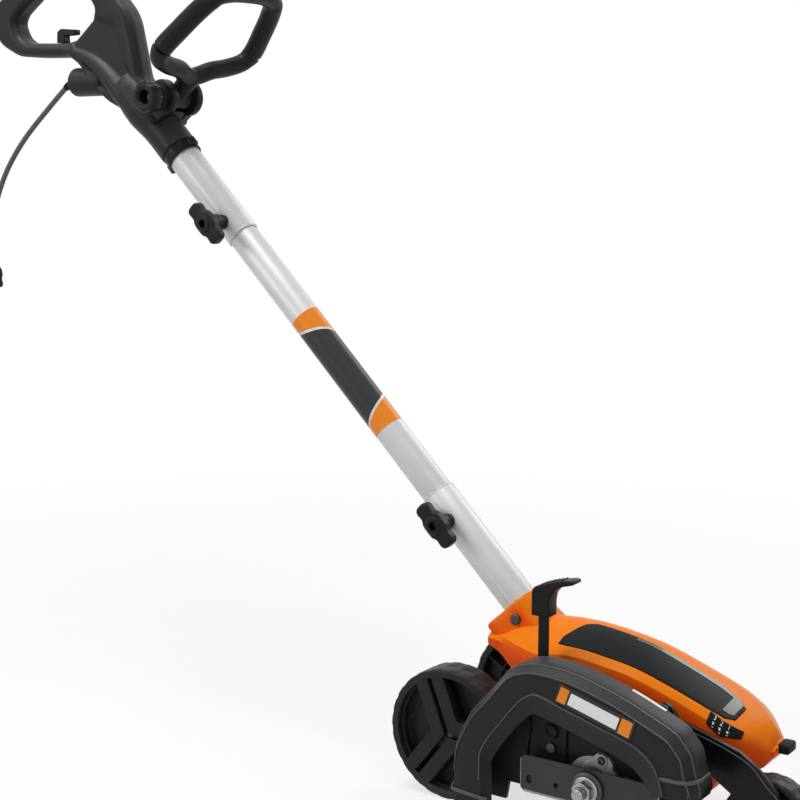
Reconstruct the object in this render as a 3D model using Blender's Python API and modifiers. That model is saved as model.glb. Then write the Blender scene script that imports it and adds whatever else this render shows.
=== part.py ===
"""Electric lawn edger, modelled piece by piece. Every size below is in millimetres.

X points forward, Y to the left and Z up. Sizes are first laid out from the rear axle (X = 0), the
middle plane (Y = 0) and the ground (Z = 0); ORIGIN then moves the whole edger over its origin.
"""

import math

import bmesh
import bpy
from mathutils import Matrix, Vector

MM = 0.001
ORIGIN = (216.0, 27.0, 0.0)

# Clearances
GAP = 0.3
RUNNING_GAP = 0.3

# Wheels and axles
REAR_AXLE = (0.0, 80.0)
REAR_WHEEL_RADIUS = 80.0
REAR_WHEEL_WIDTH = 38.0
REAR_TRACK = 192.0
FRONT_AXLE = (386.0, 50.0)
FRONT_WHEEL_RADIUS = 50.0
FRONT_WHEEL_WIDTH = 29.0
FRONT_TRACK = 126.0
AXLE_RADIUS = 5.0
HUB_CAP_RADIUS = 13.0
HUB_CAP_DEPTH = 4.0
SPOKE_TURN = 8.0

# The guard stands beside the rear wheel, and the case and blade keep their places in it
GUARD_INNER_Y = -(REAR_TRACK + REAR_WHEEL_WIDTH) / 2 - 3.0

# Housing
DECK_HALF_WIDTH = 72.7
DECK_FLOOR = 30.0
DECK_RIM = 117.7
SHELL_WALL = 3.0
COVER_EDGE = 108.0
INLAY_DEPTH = 1.0
INLAY_PROUD = 0.6
SCALE_THICKNESS = 1.2

# Drive
SPINDLE = (203.0, 70.0)
MOTOR = (175.0, 112.0)
SPINDLE_RADIUS = 7.0
MOTOR_SHAFT_RADIUS = 5.0
PINION_TEETH = 16
DRIVEN_TEETH = 32
STATOR_RADIUS = 42.0
ROTOR_RADIUS = 25.5
AIR_GAP = 0.8
MOTOR_HALF_LENGTH = 30.0
SPINDLE_BEARING_RADIUS = 16.0
MOTOR_BEARING_RADIUS = 13.0
BEARING_WIDTH = 7.0
GEAR_FROM = -65.0
GEAR_TO = -53.0
PLATE_FROM = -50.0
PLATE_TO = -42.0
CASE_FRONT = GUARD_INNER_Y - 10.0
CASE_BACK = -66.0
CASE_SPIGOT = 24.0

# Blade and its guard
BLADE_LENGTH = 172.0
BLADE_WIDTH = 44.0
BLADE_THICKNESS = 3.0
BLADE_Y = GUARD_INNER_Y - 22.0
GUARD_OUTER_Y = GUARD_INNER_Y - 43.0
GUARD_WALL = 4.0
GUARD_BACK_WALL = 5.0
WINDOW_LIP_Y = GUARD_OUTER_Y + 11.0
NOSE_RADIUS = 33.0
SHOULDER_RADIUS = 35.4
SCREW_RADIUS = 2.5
GUARD_SCREWS = [(147.0, 100.0), (244.0, 83.0)]
BADGE = [(178, 190), (172, 173), (258, 148), (264, 165)]

# Depth setting
ARM_PIVOT = (268.0, 138.0)
LEVER_PIVOT = (118.0, 150.0)
CRANK = 20.0
ARM_WIDTH = 36.0
ARM_THICKNESS = 6.7
ROD_WIDTH = 10.0
PIN_RADIUS = 4.0
LEVER_WIDTH = 12.5
LEVER_HEIGHT = 121.0
ARM_INNER_Y = (FRONT_TRACK + FRONT_WHEEL_WIDTH) / 2 + 2.8
ROD_INNER_Y = -ARM_INNER_Y - ARM_THICKNESS - 1.0
ROD_OUTER_Y = ROD_INNER_Y - 3.0
LEVER_INNER_Y = ROD_OUTER_Y - 1.0
LEVER_OUTER_Y = LEVER_INNER_Y - 3.6

# Telescopic tube: stations run along its axis, up from where the axis meets X = Z
TUBE_LINE = 254.5
TUBE_RADIUS = 22.0
TUBE_WALL = 1.7
MIDDLE_TUBE_WALL = 1.5
SOCKET_END = 62.0
SOCKET_MOUTH = 134.5
SOCKET_PIN = (44.0, 210.0)
SOCKET_PIN_Y = 30.6
PIN_HEAD_RADIUS = 6.5
LOWER_TUBE_END = 302.5
MIDDLE_TUBE_FROM = 215.0
MIDDLE_TUBE_TO = 832.0
UPPER_TUBE_FROM = 744.8
UPPER_TUBE_TO = 988.0
LOWER_KNOB = 265.0
UPPER_KNOB = 768.0
BOLT_RADIUS = 4.0

# Handles
COLLAR_FROM = 884.0
COLLAR_TO = 898.0
NECK_RADIUS = TUBE_RADIUS + 4.5
NECK_ROOT_RADIUS = TUBE_RADIUS + 9.0
HANDLE_HALF_WIDTH = 17.5
TRIGGER_HALF_WIDTH = 6.0
AUX_STATION = 952.0
AUX_RISE = TUBE_RADIUS + 24.7
AUX_HUB_RADIUS = 15.5
AUX_HUB_HALF_WIDTH = 18.0
AUX_BAR_RADIUS = 13.3
BRACKET_RADIUS = NECK_ROOT_RADIUS + 5.5
BRACKET_RISE = 12.0
EAR_OUTER_Y = 30.0

# Cord
CORD_DIAMETER = 7.5
CUP_END = -698.0

GUARD_OUTLINE = [
    (32, 24), (33, 77), (39, 100), (55, 132), (77, 156), (90, 174), (104, 190), (132, 204),
    (165, 205), (189, 202), (242, 188), (283, 172), (310, 160), (322, 148), (330, 137),
    (335, 117), (341, 102), (339, 89)]
GUARD_BACK = [(296, 89), (293, 46), (92, 46), (88, 24)]
WINDOW_RIDGE = [
    (77, 10), (77, 91), (103, 129), (128, 160), (137, 166), (149, 171), (203, 155), (262, 140),
    (279, 131), (293, 118), (302, 80), (302, 10)]
WINDOW_EDGE = [
    (84, 10), (84, 80), (110, 120), (130, 140), (135, 144), (141, 145), (198, 131), (257, 112),
    (262, 109), (267, 105), (288, 80), (288, 10)]
DECK_OUTLINE = [
    (-18, 66), (-18, 92), (-8, 102), (40, 106), (80, 112), (92, DECK_RIM), (328, DECK_RIM),
    (334, 108), (332, 98), (320, 72), (300, 52), (262, DECK_FLOOR), (140, DECK_FLOOR),
    (100, 40), (60, 56), (0, 61)]

# Cover stations: X, half width, top, shoulder, lower edge, how far the left shoulder falls, left width
COVER_STATIONS = [
    (10, 39, 199, 188, 176, 2, 39), (34, 47, 210, 193, 168, 5, 47), (62, 60, 213, 193, 150, 12, 60),
    (92, 72, 214, 192, 118, 18, 72), (112, 76, 215, 196, COVER_EDGE, 20, 76),
    (144, 76, 214, 199, COVER_EDGE, 20, 76), (182, 76, 209, 195, COVER_EDGE, 20, 76),
    (219, 76, 201, 189, COVER_EDGE, 20, 76), (262, 76, 186, 176, COVER_EDGE, 20, 76),
    (305, 75, 168, 160, COVER_EDGE, 17, 74), (328, 73, 156, 149, 106, 13, 62),
    (346, 62, 145, 139, 100, 9, 44), (357, 46, 137, 131, 94, 5, 30), (365, 35, 128, 122, 97, 3, 21),
    (369, 25, 120, 116, 104, 1, 15)]
INLAY_STATIONS = [
    (118, 58, 46), (130, 60.5, 14), (141, 61, 6), (182, 61, 5), (219, 61, 5), (262, 61, 6), (305, 60, 6),
    (326, 56, 10), (334, 46, 18)]
SCALE_STATIONS = [(312, 0.0, 0.35), (328, -0.35, 0.2), (347, 0.3, 0.05)]
SOCKET_STATIONS = [(58.0, 34, 46, 34, -34), (84.0, 33, 44, 32, -37), (112.0, 31, 41, 28, -39),
                   (SOCKET_MOUTH, 29, 38, 26, -40)]

HANDLE_OUTLINE = [
    (-560, 800), (-626, 829), (-676, 878), (-699, 891), (-760, 892), (-803, 895), (-836, 911),
    (-852, 930), (-867, 945), (-866, 955), (-850, 965), (-800, 1000), (-770, 1020), (-745, 1033),
    (-722, 1040), (-700, 1040), (-676, 1032), (-655, 1016), (-622, 990), (-600, 966),
    (-587, 952), (-579, 936), (-569, 891), (-562, 856), (-540, 835)]
HANDLE_OPENING = [
    (-806, 941), (-800, 953), (-769, 973), (-745, 989), (-726, 1000), (-708, 1002),
    (-690, 997), (-657, 968), (-648, 956), (-651, 944), (-690, 914), (-702, 911), (-780, 913),
    (-796, 922)]
TRIGGER_OUTLINE = [
    (-762, 996), (-757, 984), (-745, 977), (-733, 973), (-722, 980), (-712, 994), (-699, 1003),
    (-690, 1008), (-690, 1017), (-700, 1018), (-740, 1008)]
TRIGGER_SLOT = [
    (-767, 970), (-767, 1004), (-745, 1018), (-702, 1026), (-686, 1022), (-686, 1004),
    (-700, 985), (-716, 960)]
TRIGGER_PIVOT = (-695.0, 1012.5)
LOCK_BUTTON = (-671.0, 1003.0)
HOOK_OUTLINE = [
    (-730, 911.8), (-714, 911.4), (-715, 921), (-694, 922), (-694, 929), (-722, 931), (-729, 927)]

# From the lever's pivot
GRIP_OUTLINE = [
    (-11.5, 93), (11.5, 93), (11.5, 111), (13, 120), (19, 127), (27, 131.5), (36, 134), (42.5, 136),
    (42.5, 140), (38, 140.5), (26, 138.5), (13, 135), (0, 130), (-8, 127), (-11.5, 122)]

# Half of the loop: across, and out from the hub
LOOP_POINTS = [
    (0, 38), (14, 42), (32, 51), (58, 57), (82, 68), (89, 86), (81, 118), (71, 150), (58, 173), (35, 182),
    (0, 184)]

CORD_ROUTE = [
    (-720.3, 0, 849.8), (-728, 0, 844), (-743, -1, 831.5), (-760, -3, 816), (-778, -7, 798),
    (-795, -13, 777), (-810, -20, 753), (-822, -27, 727), (-831, -33, 699), (-837, -38, 670),
    (-840, -41, 640), (-841, -42, 612)]

LOOKS = {
    "orange_shell": ((0.87, 0.22, 0.02), 0.35, 0.0),
    "charcoal_plastic": ((0.045, 0.045, 0.048), 0.5, 0.0),
    "black_plastic": ((0.02, 0.02, 0.022), 0.45, 0.0),
    "soft_black": ((0.03, 0.03, 0.03), 0.7, 0.0),
    "tyre_black": ((0.035, 0.035, 0.036), 0.6, 0.0),
    "plain_white": ((0.8, 0.8, 0.8), 0.4, 0.0),
    "tube_silver": ((0.7, 0.71, 0.72), 0.35, 0.9),
    "bright_steel": ((0.55, 0.55, 0.56), 0.3, 1.0),
    "dark_steel": ((0.08, 0.08, 0.085), 0.4, 0.6),
    "cast_alloy": ((0.5, 0.5, 0.51), 0.55, 0.8),
    "copper": ((0.7, 0.3, 0.15), 0.4, 1.0),
    "cord_grey": ((0.06, 0.06, 0.065), 0.6, 0.0),
}

for old in list(bpy.data.objects):
    bpy.data.objects.remove(old, do_unlink=True)

scene = bpy.context.scene
parts_collection = bpy.data.collections.new("lawn_edger")
tools_collection = bpy.data.collections.new("cutters_and_guides")
scene.collection.children.link(parts_collection)
scene.collection.children.link(tools_collection)


def make_look(name, colour, roughness, metallic):
    look = bpy.data.materials.new(name)
    look.use_nodes = True
    surface = look.node_tree.nodes["Principled BSDF"]
    surface.inputs["Base Color"].default_value = (*colour, 1.0)
    surface.inputs["Roughness"].default_value = roughness
    surface.inputs["Metallic"].default_value = metallic
    look.diffuse_color = (*colour, 1.0)
    return look


looks = {name: make_look(name, *values) for name, values in LOOKS.items()}


def at(x, y, z):
    """A point in millimetres as Blender's metres."""
    return Vector((x, y, z)) * MM


def on_tube(station, side=0.0, rise=0.0):
    """A point beside the tube's axis: along it, to the left of it, and square off its upper face."""
    step = station / math.sqrt(2)
    lift = rise / math.sqrt(2)
    return (TUBE_LINE / 2 - step + lift, side, TUBE_LINE / 2 + step + lift)


TUBE_DIRECTION = Vector((-1, 0, 1)).normalized()
AUX_HUB = on_tube(AUX_STATION, 0.0, AUX_RISE)


# Frames of the moving bodies: each empty stands on its joint's axis
bodies = {}
pivots = {}


def make_body(name, pivot):
    empty = bpy.data.objects.new("frame_" + name, None)
    empty.empty_display_size = 0.02
    parts_collection.objects.link(empty)
    if name != "chassis":
        empty.parent = bodies["chassis"]
    empty.location = at(*pivot)
    bodies[name] = empty
    pivots[name] = Vector((0, 0, 0)) if name == "chassis" else at(*pivot)


make_body("chassis", ORIGIN)
make_body("spindle", (SPINDLE[0], BLADE_Y, SPINDLE[1]))
make_body("rotor", (MOTOR[0], 0, MOTOR[1]))
make_body("depth_arm", (ARM_PIVOT[0], 0, ARM_PIVOT[1]))
make_body("depth_lever", (LEVER_PIVOT[0], -94, LEVER_PIVOT[1]))
make_body("link_rod", (LEVER_PIVOT[0], -90, LEVER_PIVOT[1] + CRANK))
make_body("middle_tube", on_tube(MIDDLE_TUBE_FROM))
make_body("upper_tube", on_tube(UPPER_TUBE_FROM))
make_body("lower_knob", on_tube(LOWER_KNOB, -TUBE_RADIUS))
make_body("upper_knob", on_tube(UPPER_KNOB, -TUBE_RADIUS))
make_body("aux_handle", AUX_HUB)
make_body("aux_knob", (AUX_HUB[0], -50, AUX_HUB[2]))
make_body("trigger", (TRIGGER_PIVOT[0], 0, TRIGGER_PIVOT[1]))
make_body("lock_button", (LOCK_BUTTON[0], -15, LOCK_BUTTON[1]))
make_body("front_wheel", (FRONT_AXLE[0], -FRONT_TRACK / 2, FRONT_AXLE[1]))
for side_name, side_sign in (("right", -1), ("left", 1)):
    make_body("rear_wheel_" + side_name, (REAR_AXLE[0], side_sign * REAR_TRACK / 2, REAR_AXLE[1]))


def place(name, data, body, look, placement=Matrix()):
    """Link a piece to its body; its mesh or curve is laid out from the rear axle."""
    piece = bpy.data.objects.new(name, data)
    parts_collection.objects.link(piece)
    data.materials.append(looks[look])
    piece.parent = bodies[body]
    piece.matrix_local = Matrix.Translation(-pivots[body]) @ placement
    return piece


def tool(name, data, placement=Matrix()):
    """A hidden shape that cuts a piece or is joined to it."""
    piece = place(name, data, "chassis", "plain_white", placement)
    parts_collection.objects.unlink(piece)
    tools_collection.objects.link(piece)
    piece.hide_render = True
    piece.display_type = "WIRE"
    return piece


def combine(piece, other, operation):
    boolean = piece.modifiers.new(other.name, "BOOLEAN")
    boolean.operation = operation
    boolean.solver = "EXACT"
    boolean.object = other


def cut(piece, *others):
    for other in others:
        combine(piece, other, "DIFFERENCE")


def join(piece, *others):
    for other in others:
        combine(piece, other, "UNION")


def finish_mesh(builder, name):
    mesh = bpy.data.meshes.new(name)
    bmesh.ops.recalc_face_normals(builder, faces=builder.faces)
    builder.to_mesh(mesh)
    builder.free()
    mesh.shade_smooth()
    mesh.set_sharp_from_angle(angle=math.radians(32))
    return mesh


def block(low, high, bevel=0.0, segments=1):
    """A box between two corners, with its edges rounded."""
    builder = bmesh.new()
    bmesh.ops.create_cube(builder, size=1.0)
    size = [b - a for a, b in zip(low, high)]
    middle = [(a + b) / 2 for a, b in zip(low, high)]
    bmesh.ops.scale(builder, vec=at(*size), verts=builder.verts)
    bmesh.ops.translate(builder, vec=at(*middle), verts=builder.verts)
    if bevel:
        bmesh.ops.bevel(builder, geom=builder.edges[:], offset=bevel * MM, segments=segments,
                        affect="EDGES", profile=0.5)
    return finish_mesh(builder, "block")


def rod(start, end, radius, end_radius=None, sides=24):
    """A round bar or cone between two points."""
    first, last = at(*start), at(*end)
    length = (last - first).length
    turn = (last - first).to_track_quat("Z", "Y").to_matrix().to_4x4()
    builder = bmesh.new()
    bmesh.ops.create_cone(
        builder, cap_ends=True, segments=sides, radius1=radius * MM,
        radius2=(radius if end_radius is None else end_radius) * MM, depth=length,
        matrix=Matrix.Translation((first + last) / 2) @ turn)
    return finish_mesh(builder, "rod")


def cross_rod(centre, y_from, y_to, radius, sides=24):
    """A round bar along Y through a point of the side view."""
    return rod((centre[0], y_from, centre[1]), (centre[0], y_to, centre[1]), radius, sides=sides)


def loft(rings):
    """A closed skin over rings with the same number of points."""
    builder = bmesh.new()
    loops = [[builder.verts.new(at(*point)) for point in ring] for ring in rings]
    for ring, following in zip(loops, loops[1:]):
        for index in range(len(ring)):
            after = (index + 1) % len(ring)
            builder.faces.new((ring[index], ring[after], following[after], following[index]))
    builder.faces.new(loops[0])
    builder.faces.new(loops[-1])
    return finish_mesh(builder, "loft")


def curve_mesh(curve, placement=Matrix()):
    """The closed mesh of a curve, with its caps welded on."""
    guide = bpy.data.objects.new("guide", curve)
    scene.collection.objects.link(guide)
    bpy.context.view_layer.update()
    evaluated = guide.evaluated_get(bpy.context.evaluated_depsgraph_get())
    mesh = bpy.data.meshes.new_from_object(evaluated)
    bpy.data.objects.remove(guide, do_unlink=True)
    builder = bmesh.new()
    builder.from_mesh(mesh)
    bmesh.ops.remove_doubles(builder, verts=builder.verts, dist=0.00001)
    bmesh.ops.transform(builder, matrix=placement, verts=builder.verts)
    mesh.materials.clear()
    return finish_mesh(builder, "welded")


def plate(outline, y_from, y_to, holes=(), rounding=0.0, steps=1):
    """A flat outline of the side view, extruded along Y, with rounded rims."""
    curve = bpy.data.curves.new("outline", "CURVE")
    curve.dimensions = "2D"
    curve.fill_mode = "BOTH"
    curve.extrude = (abs(y_to - y_from) / 2 - rounding) * MM
    curve.bevel_depth = rounding * MM
    curve.bevel_resolution = steps
    curve.offset = -rounding * MM
    for loop in [outline, *holes]:
        spline = curve.splines.new("POLY")
        spline.points.add(len(loop) - 1)
        for point, (x, z) in zip(spline.points, loop):
            point.co = (x * MM, z * MM, 0, 1)
        spline.use_cyclic_u = True
    upright = Matrix.Rotation(math.radians(90), 4, "X")
    return curve_mesh(curve, Matrix.Translation(at(0, (y_from + y_to) / 2, 0)) @ upright)


def sweep(points, radius, resolution=2, radii=None):
    """A round bar through points, closed at both ends."""
    curve = bpy.data.curves.new("path", "CURVE")
    curve.dimensions = "3D"
    curve.bevel_depth = radius * MM
    curve.bevel_resolution = resolution
    curve.use_fill_caps = True
    spline = curve.splines.new("POLY")
    spline.points.add(len(points) - 1)
    for index, (point, place_at) in enumerate(zip(spline.points, points)):
        point.co = (*at(*place_at), 1)
        point.radius = radii[index] if radii else 1.0
    return curve_mesh(curve)


def smooth_path(points, steps):
    """Points along a Catmull-Rom curve through the given ones."""
    anchors = [Vector(point) for point in points]
    anchors = [2 * anchors[0] - anchors[1], *anchors, 2 * anchors[-1] - anchors[-2]]
    path = []
    for index in range(1, len(anchors) - 2):
        before, start, end, after = anchors[index - 1:index + 3]
        for step in range(steps):
            t = step / steps
            path.append(0.5 * (2 * start + (end - before) * t
                               + (2 * before - 5 * start + 4 * end - after) * t * t
                               + (3 * start - before - 3 * end + after) * t ** 3))
    path.append(anchors[-2])
    return [tuple(point) for point in path]


def turned_data(profile, closed=True):
    mesh = bpy.data.meshes.new("profile")
    edges = [(index, index + 1) for index in range(len(profile) - 1)]
    if closed:
        edges.append((len(profile) - 1, 0))
    mesh.from_pydata([(radius * MM, 0, height * MM) for radius, height in profile], edges, [])
    return mesh


def axis_placement(centre, direction):
    turn = Vector(direction).to_track_quat("Z", "Y").to_matrix().to_4x4()
    return Matrix.Translation(at(*centre)) @ turn


def spin(piece, steps):
    """Turn a profile about its own Z axis."""
    screw = piece.modifiers.new("turned", "SCREW")
    screw.axis = "Z"
    screw.steps = steps
    screw.render_steps = steps
    screw.use_merge_vertices = True
    screw.merge_threshold = 0.00001
    screw.use_smooth_shade = True
    return piece


def turned(name, profile, centre, direction, body, look, steps=24, closed=True):
    """A turned piece: its profile gives radius and height, from the top down its outer side."""
    data = turned_data(profile, closed)
    return spin(place(name, data, body, look, axis_placement(centre, direction)), steps)


def turned_tool(name, profile, centre, direction, steps=24, closed=True):
    return spin(tool(name, turned_data(profile, closed), axis_placement(centre, direction)), steps)


def sleeve(outer, inner, length):
    """The profile of a plain tube from height 0 up."""
    return [(outer, length), (outer, 0), (inner, 0), (inner, length)]


def solid_profile(*steps):
    """The profile of a solid turned bar, given from the top down its outer side."""
    return [(0, steps[0][1]), *steps, (0, steps[-1][1])]


def inset(outline, distance):
    """An outline moved inwards by a distance, with its corners mitred."""
    area = sum(a[0] * b[1] - b[0] * a[1] for a, b in zip(outline, outline[1:] + outline[:1]))
    turn = 1 if area > 0 else -1
    result = []
    for index, corner in enumerate(outline):
        point = Vector(corner)
        into = (point - Vector(outline[index - 1])).normalized()
        out = (Vector(outline[(index + 1) % len(outline)]) - point).normalized()
        normal_in = Vector((-into.y, into.x)) * turn
        normal_out = Vector((-out.y, out.x)) * turn
        mitre = (normal_in + normal_out).normalized()
        moved = point + mitre * (distance / max(mitre.dot(normal_in), 0.4))
        result.append((moved.x, moved.y))
    return result


def circle(centre, radius, count, start=0.0):
    return [(centre[0] + radius * math.cos(start + 2 * math.pi * i / count),
             centre[1] + radius * math.sin(start + 2 * math.pi * i / count)) for i in range(count)]


def capsule(first, first_radius, last, last_radius, count=14):
    """The outline round two circles, joined by straight sides."""
    heading = math.atan2(last[1] - first[1], last[0] - first[0])
    outline = []
    for centre, radius, begin in ((last, last_radius, heading - math.pi / 2),
                                  (first, first_radius, heading + math.pi / 2)):
        for i in range(count + 1):
            angle = begin + math.pi * i / count
            outline.append((centre[0] + radius * math.cos(angle), centre[1] + radius * math.sin(angle)))
    return outline


def gear_outline(centre, pitch_radius, teeth, phase):
    """Straight-sided teeth, thin enough for backlash."""
    module = 2 * pitch_radius / teeth
    root, tip = pitch_radius - 1.25 * module, pitch_radius + 0.95 * module
    outline = []
    for tooth in range(teeth):
        middle = phase + 2 * math.pi * tooth / teeth
        for radius, share in ((root, -0.29), (tip, -0.10), (tip, 0.10), (root, 0.29)):
            angle = middle + share * 2 * math.pi / teeth
            outline.append((centre[0] + radius * math.cos(angle), centre[1] + radius * math.sin(angle)))
    return outline


def between(stations, x):
    """The values of a table of stations at X, in straight steps."""
    x = min(max(x, stations[0][0]), stations[-1][0])
    for low, high in zip(stations, stations[1:]):
        if x <= high[0]:
            share = (x - low[0]) / (high[0] - low[0])
            return [a + (b - a) * share for a, b in zip(low[1:], high[1:])]
    return list(stations[-1][1:])


def cover_section(x, shrink=0.0, drop=0.0):
    """The cover's outline across Y at a station, from its right lower edge over to the left."""
    half, top, shoulder, low, left_fall, left_half = between(COVER_STATIONS, x)
    half, left_half = half - shrink, left_half - shrink
    top, shoulder, low = top - shrink, shoulder - shrink, low - drop
    right = cover_side(half, top, shoulder, low)
    left = [(-y, z) for y, z in reversed(cover_side(left_half, top, shoulder - left_fall, low))]
    return [(x, y, z) for y, z in [*right, (0, top), *left]]


def cover_side(half, top, shoulder, low):
    """The right half of a section: a wall, a rounded shoulder and the rise to the spine."""
    fall = min(16.0, (shoulder - low) * 0.4)
    return [(-half, low), (-half, shoulder - fall), (-half + 3, shoulder - fall * 0.4),
            (-half + 10, shoulder - 1), (-half * 0.72, shoulder + (top - shoulder) * 0.25),
            (-half * 0.45, shoulder + (top - shoulder) * 0.7)]


def cover_height(x, y):
    """The height of the cover's top skin."""
    section = cover_section(x)
    for low, high in zip(section, section[1:]):
        if low[1] <= y <= high[1] and high[1] > low[1]:
            return low[2] + (high[2] - low[2]) * (y - low[1]) / (high[1] - low[1])
    return section[0][2]


def make_housing():
    """The orange lower shell, the cover over it, and what is let into the cover."""
    deck = place("lower_shell", plate(DECK_OUTLINE, -DECK_HALF_WIDTH, DECK_HALF_WIDTH), "chassis",
                 "orange_shell")
    raised = [(x, z + 20 if z == DECK_RIM else z) for x, z in DECK_OUTLINE]
    inner = DECK_HALF_WIDTH - SHELL_WALL
    cut(deck, tool("shell_space", plate(inset(raised, SHELL_WALL), -inner, inner)))
    floor = DECK_FLOOR + SHELL_WALL
    half_cradle = STATOR_RADIUS - 6
    for number, y in enumerate((-26, 20)):
        join(deck, tool("cradle_%d" % number, block(
            (MOTOR[0] - half_cradle, y, floor - 1), (MOTOR[0] + half_cradle, y + 6, MOTOR[1] - 14))))
    join(deck, tool("far_bearing_boss", cross_rod(
        MOTOR, MOTOR_HALF_LENGTH + 31, DECK_HALF_WIDTH - 1.7, MOTOR_BEARING_RADIUS + 4)))
    for number, (x, z) in enumerate(GUARD_SCREWS):
        join(deck, tool("guard_boss_%d" % number, cross_rod(
            (x, z), -DECK_HALF_WIDTH + 1, GUARD_INNER_Y + GAP, 7.0, 16)))
        cut(deck, tool("guard_boss_hole_%d" % number, cross_rod(
            (x, z), GUARD_INNER_Y + 16, GUARD_INNER_Y - 2, SCREW_RADIUS + GAP, 12)))
    cut(deck,
        tool("stator_seat", cross_rod(MOTOR, -40, 40, STATOR_RADIUS + GAP, 28)),
        tool("far_bearing_seat", cross_rod(MOTOR, 0, DECK_HALF_WIDTH - 3.4, MOTOR_BEARING_RADIUS + GAP)),
        tool("rear_axle_hole", cross_rod(REAR_AXLE, -90, 90, AXLE_RADIUS + GAP, 16)),
        tool("case_hole", cross_rod(SPINDLE, -90, -60, CASE_SPIGOT + GAP, 28)))

    cover = place("motor_cover", loft([cover_section(s[0]) for s in COVER_STATIONS]), "chassis",
                  "orange_shell")
    inside = [cover_section(s[0], SHELL_WALL, 12) for s in COVER_STATIONS[1:-2]]
    cut(cover, tool("cover_space", loft(inside)))
    join(cover, tool("socket", loft([socket_ring(*station) for station in SOCKET_STATIONS])))
    cut(cover,
        tool("socket_bore", rod(on_tube(SOCKET_END - GAP), on_tube(SOCKET_MOUTH + 30),
                                TUBE_RADIUS + GAP, sides=32)),
        tool("socket_pin_hole", cross_rod(SOCKET_PIN, -60, 60, PIN_RADIUS + GAP, 16)),
        tool("pin_seat_right", cross_rod(SOCKET_PIN, -60, -SOCKET_PIN_Y, PIN_HEAD_RADIUS + 0.7, 20)),
        tool("pin_seat_left", cross_rod(SOCKET_PIN, SOCKET_PIN_Y, 60, PIN_HEAD_RADIUS + 0.7, 20)),
        tool("arm_shaft_hole", cross_rod(ARM_PIVOT, -90, 90, AXLE_RADIUS + GAP, 16)),
        tool("lever_pin_hole", cross_rod(LEVER_PIVOT, -90, -60, PIN_RADIUS + GAP, 16)),
        tool("deck_space", plate(inset(DECK_OUTLINE, -GAP), -DECK_HALF_WIDTH - GAP, DECK_HALF_WIDTH + GAP)))
    make_inlay(cover)


def socket_ring(station, narrow, wide, front, back):
    """A rounded section square to the tube: narrow at its front, wide at its back."""
    shape = [(0, front), (narrow * 0.62, front - 3), (narrow * 0.95, front - 14), (narrow, front - 28),
             (wide, back + 9), (wide - 5, back), (0, back - 1)]
    ring = shape + [(-side, rise) for side, rise in reversed(shape[1:-1])]
    return [on_tube(station, side, rise) for side, rise in ring]


def inlay_rings(side, low, high, grow):
    """Rings across a panel that follows the cover's top, between two heights over its skin."""
    rings = []
    last = len(INLAY_STATIONS) - 1
    for index, (x, outer, inner) in enumerate(INLAY_STATIONS):
        x += {0: -grow, last: grow}.get(index, 0)
        ys = [outer + grow + (inner - outer - 2 * grow) * step / 4 for step in range(5)]
        under = [(x, side * y, cover_height(x, side * y) + low) for y in ys]
        over = [(x, side * y, cover_height(x, side * y) + high) for y in reversed(ys)]
        rings.append(under + over)
    return rings


def make_inlay(cover):
    """The dark panel let into the cover's top, the scale plate on its shoulder and the nose bumper."""
    place("cover_inlay", loft(inlay_rings(-1, -INLAY_DEPTH, INLAY_PROUD, 0)), "chassis", "black_plastic")
    cut(cover, tool("inlay_recess", loft(inlay_rings(-1, -INLAY_DEPTH - 1.2, INLAY_PROUD + 3, 0.8))))
    place("scale_plate", loft([scale_ring(*station) for station in SCALE_STATIONS]), "chassis",
          "black_plastic")
    place("nose_bumper", block((369 + GAP, -13, 106), (384, 11, 118), 3, 2), "chassis", "soft_black")


def scale_ring(x, low_share, high_share):
    """A ring of the scale plate: three points on the cover's shoulder, each raised twice off it."""
    flank, shoulder, crown = [Vector(point) for point in cover_section(x)[2:5]]
    points = [flank.lerp(shoulder, low_share), shoulder.lerp(flank, 0.1), shoulder.lerp(crown, high_share)]
    outwards = [Vector((0, -0.85, 0.53)), Vector((0, -0.5, 0.87)), Vector((0, -0.25, 0.97))]
    under = [point + way * 3 * GAP for point, way in zip(points, outwards)]
    over = [point + way * (3 * GAP + SCALE_THICKNESS) for point, way in zip(points, outwards)]
    return [tuple(point) for point in over + under[::-1]]


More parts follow.
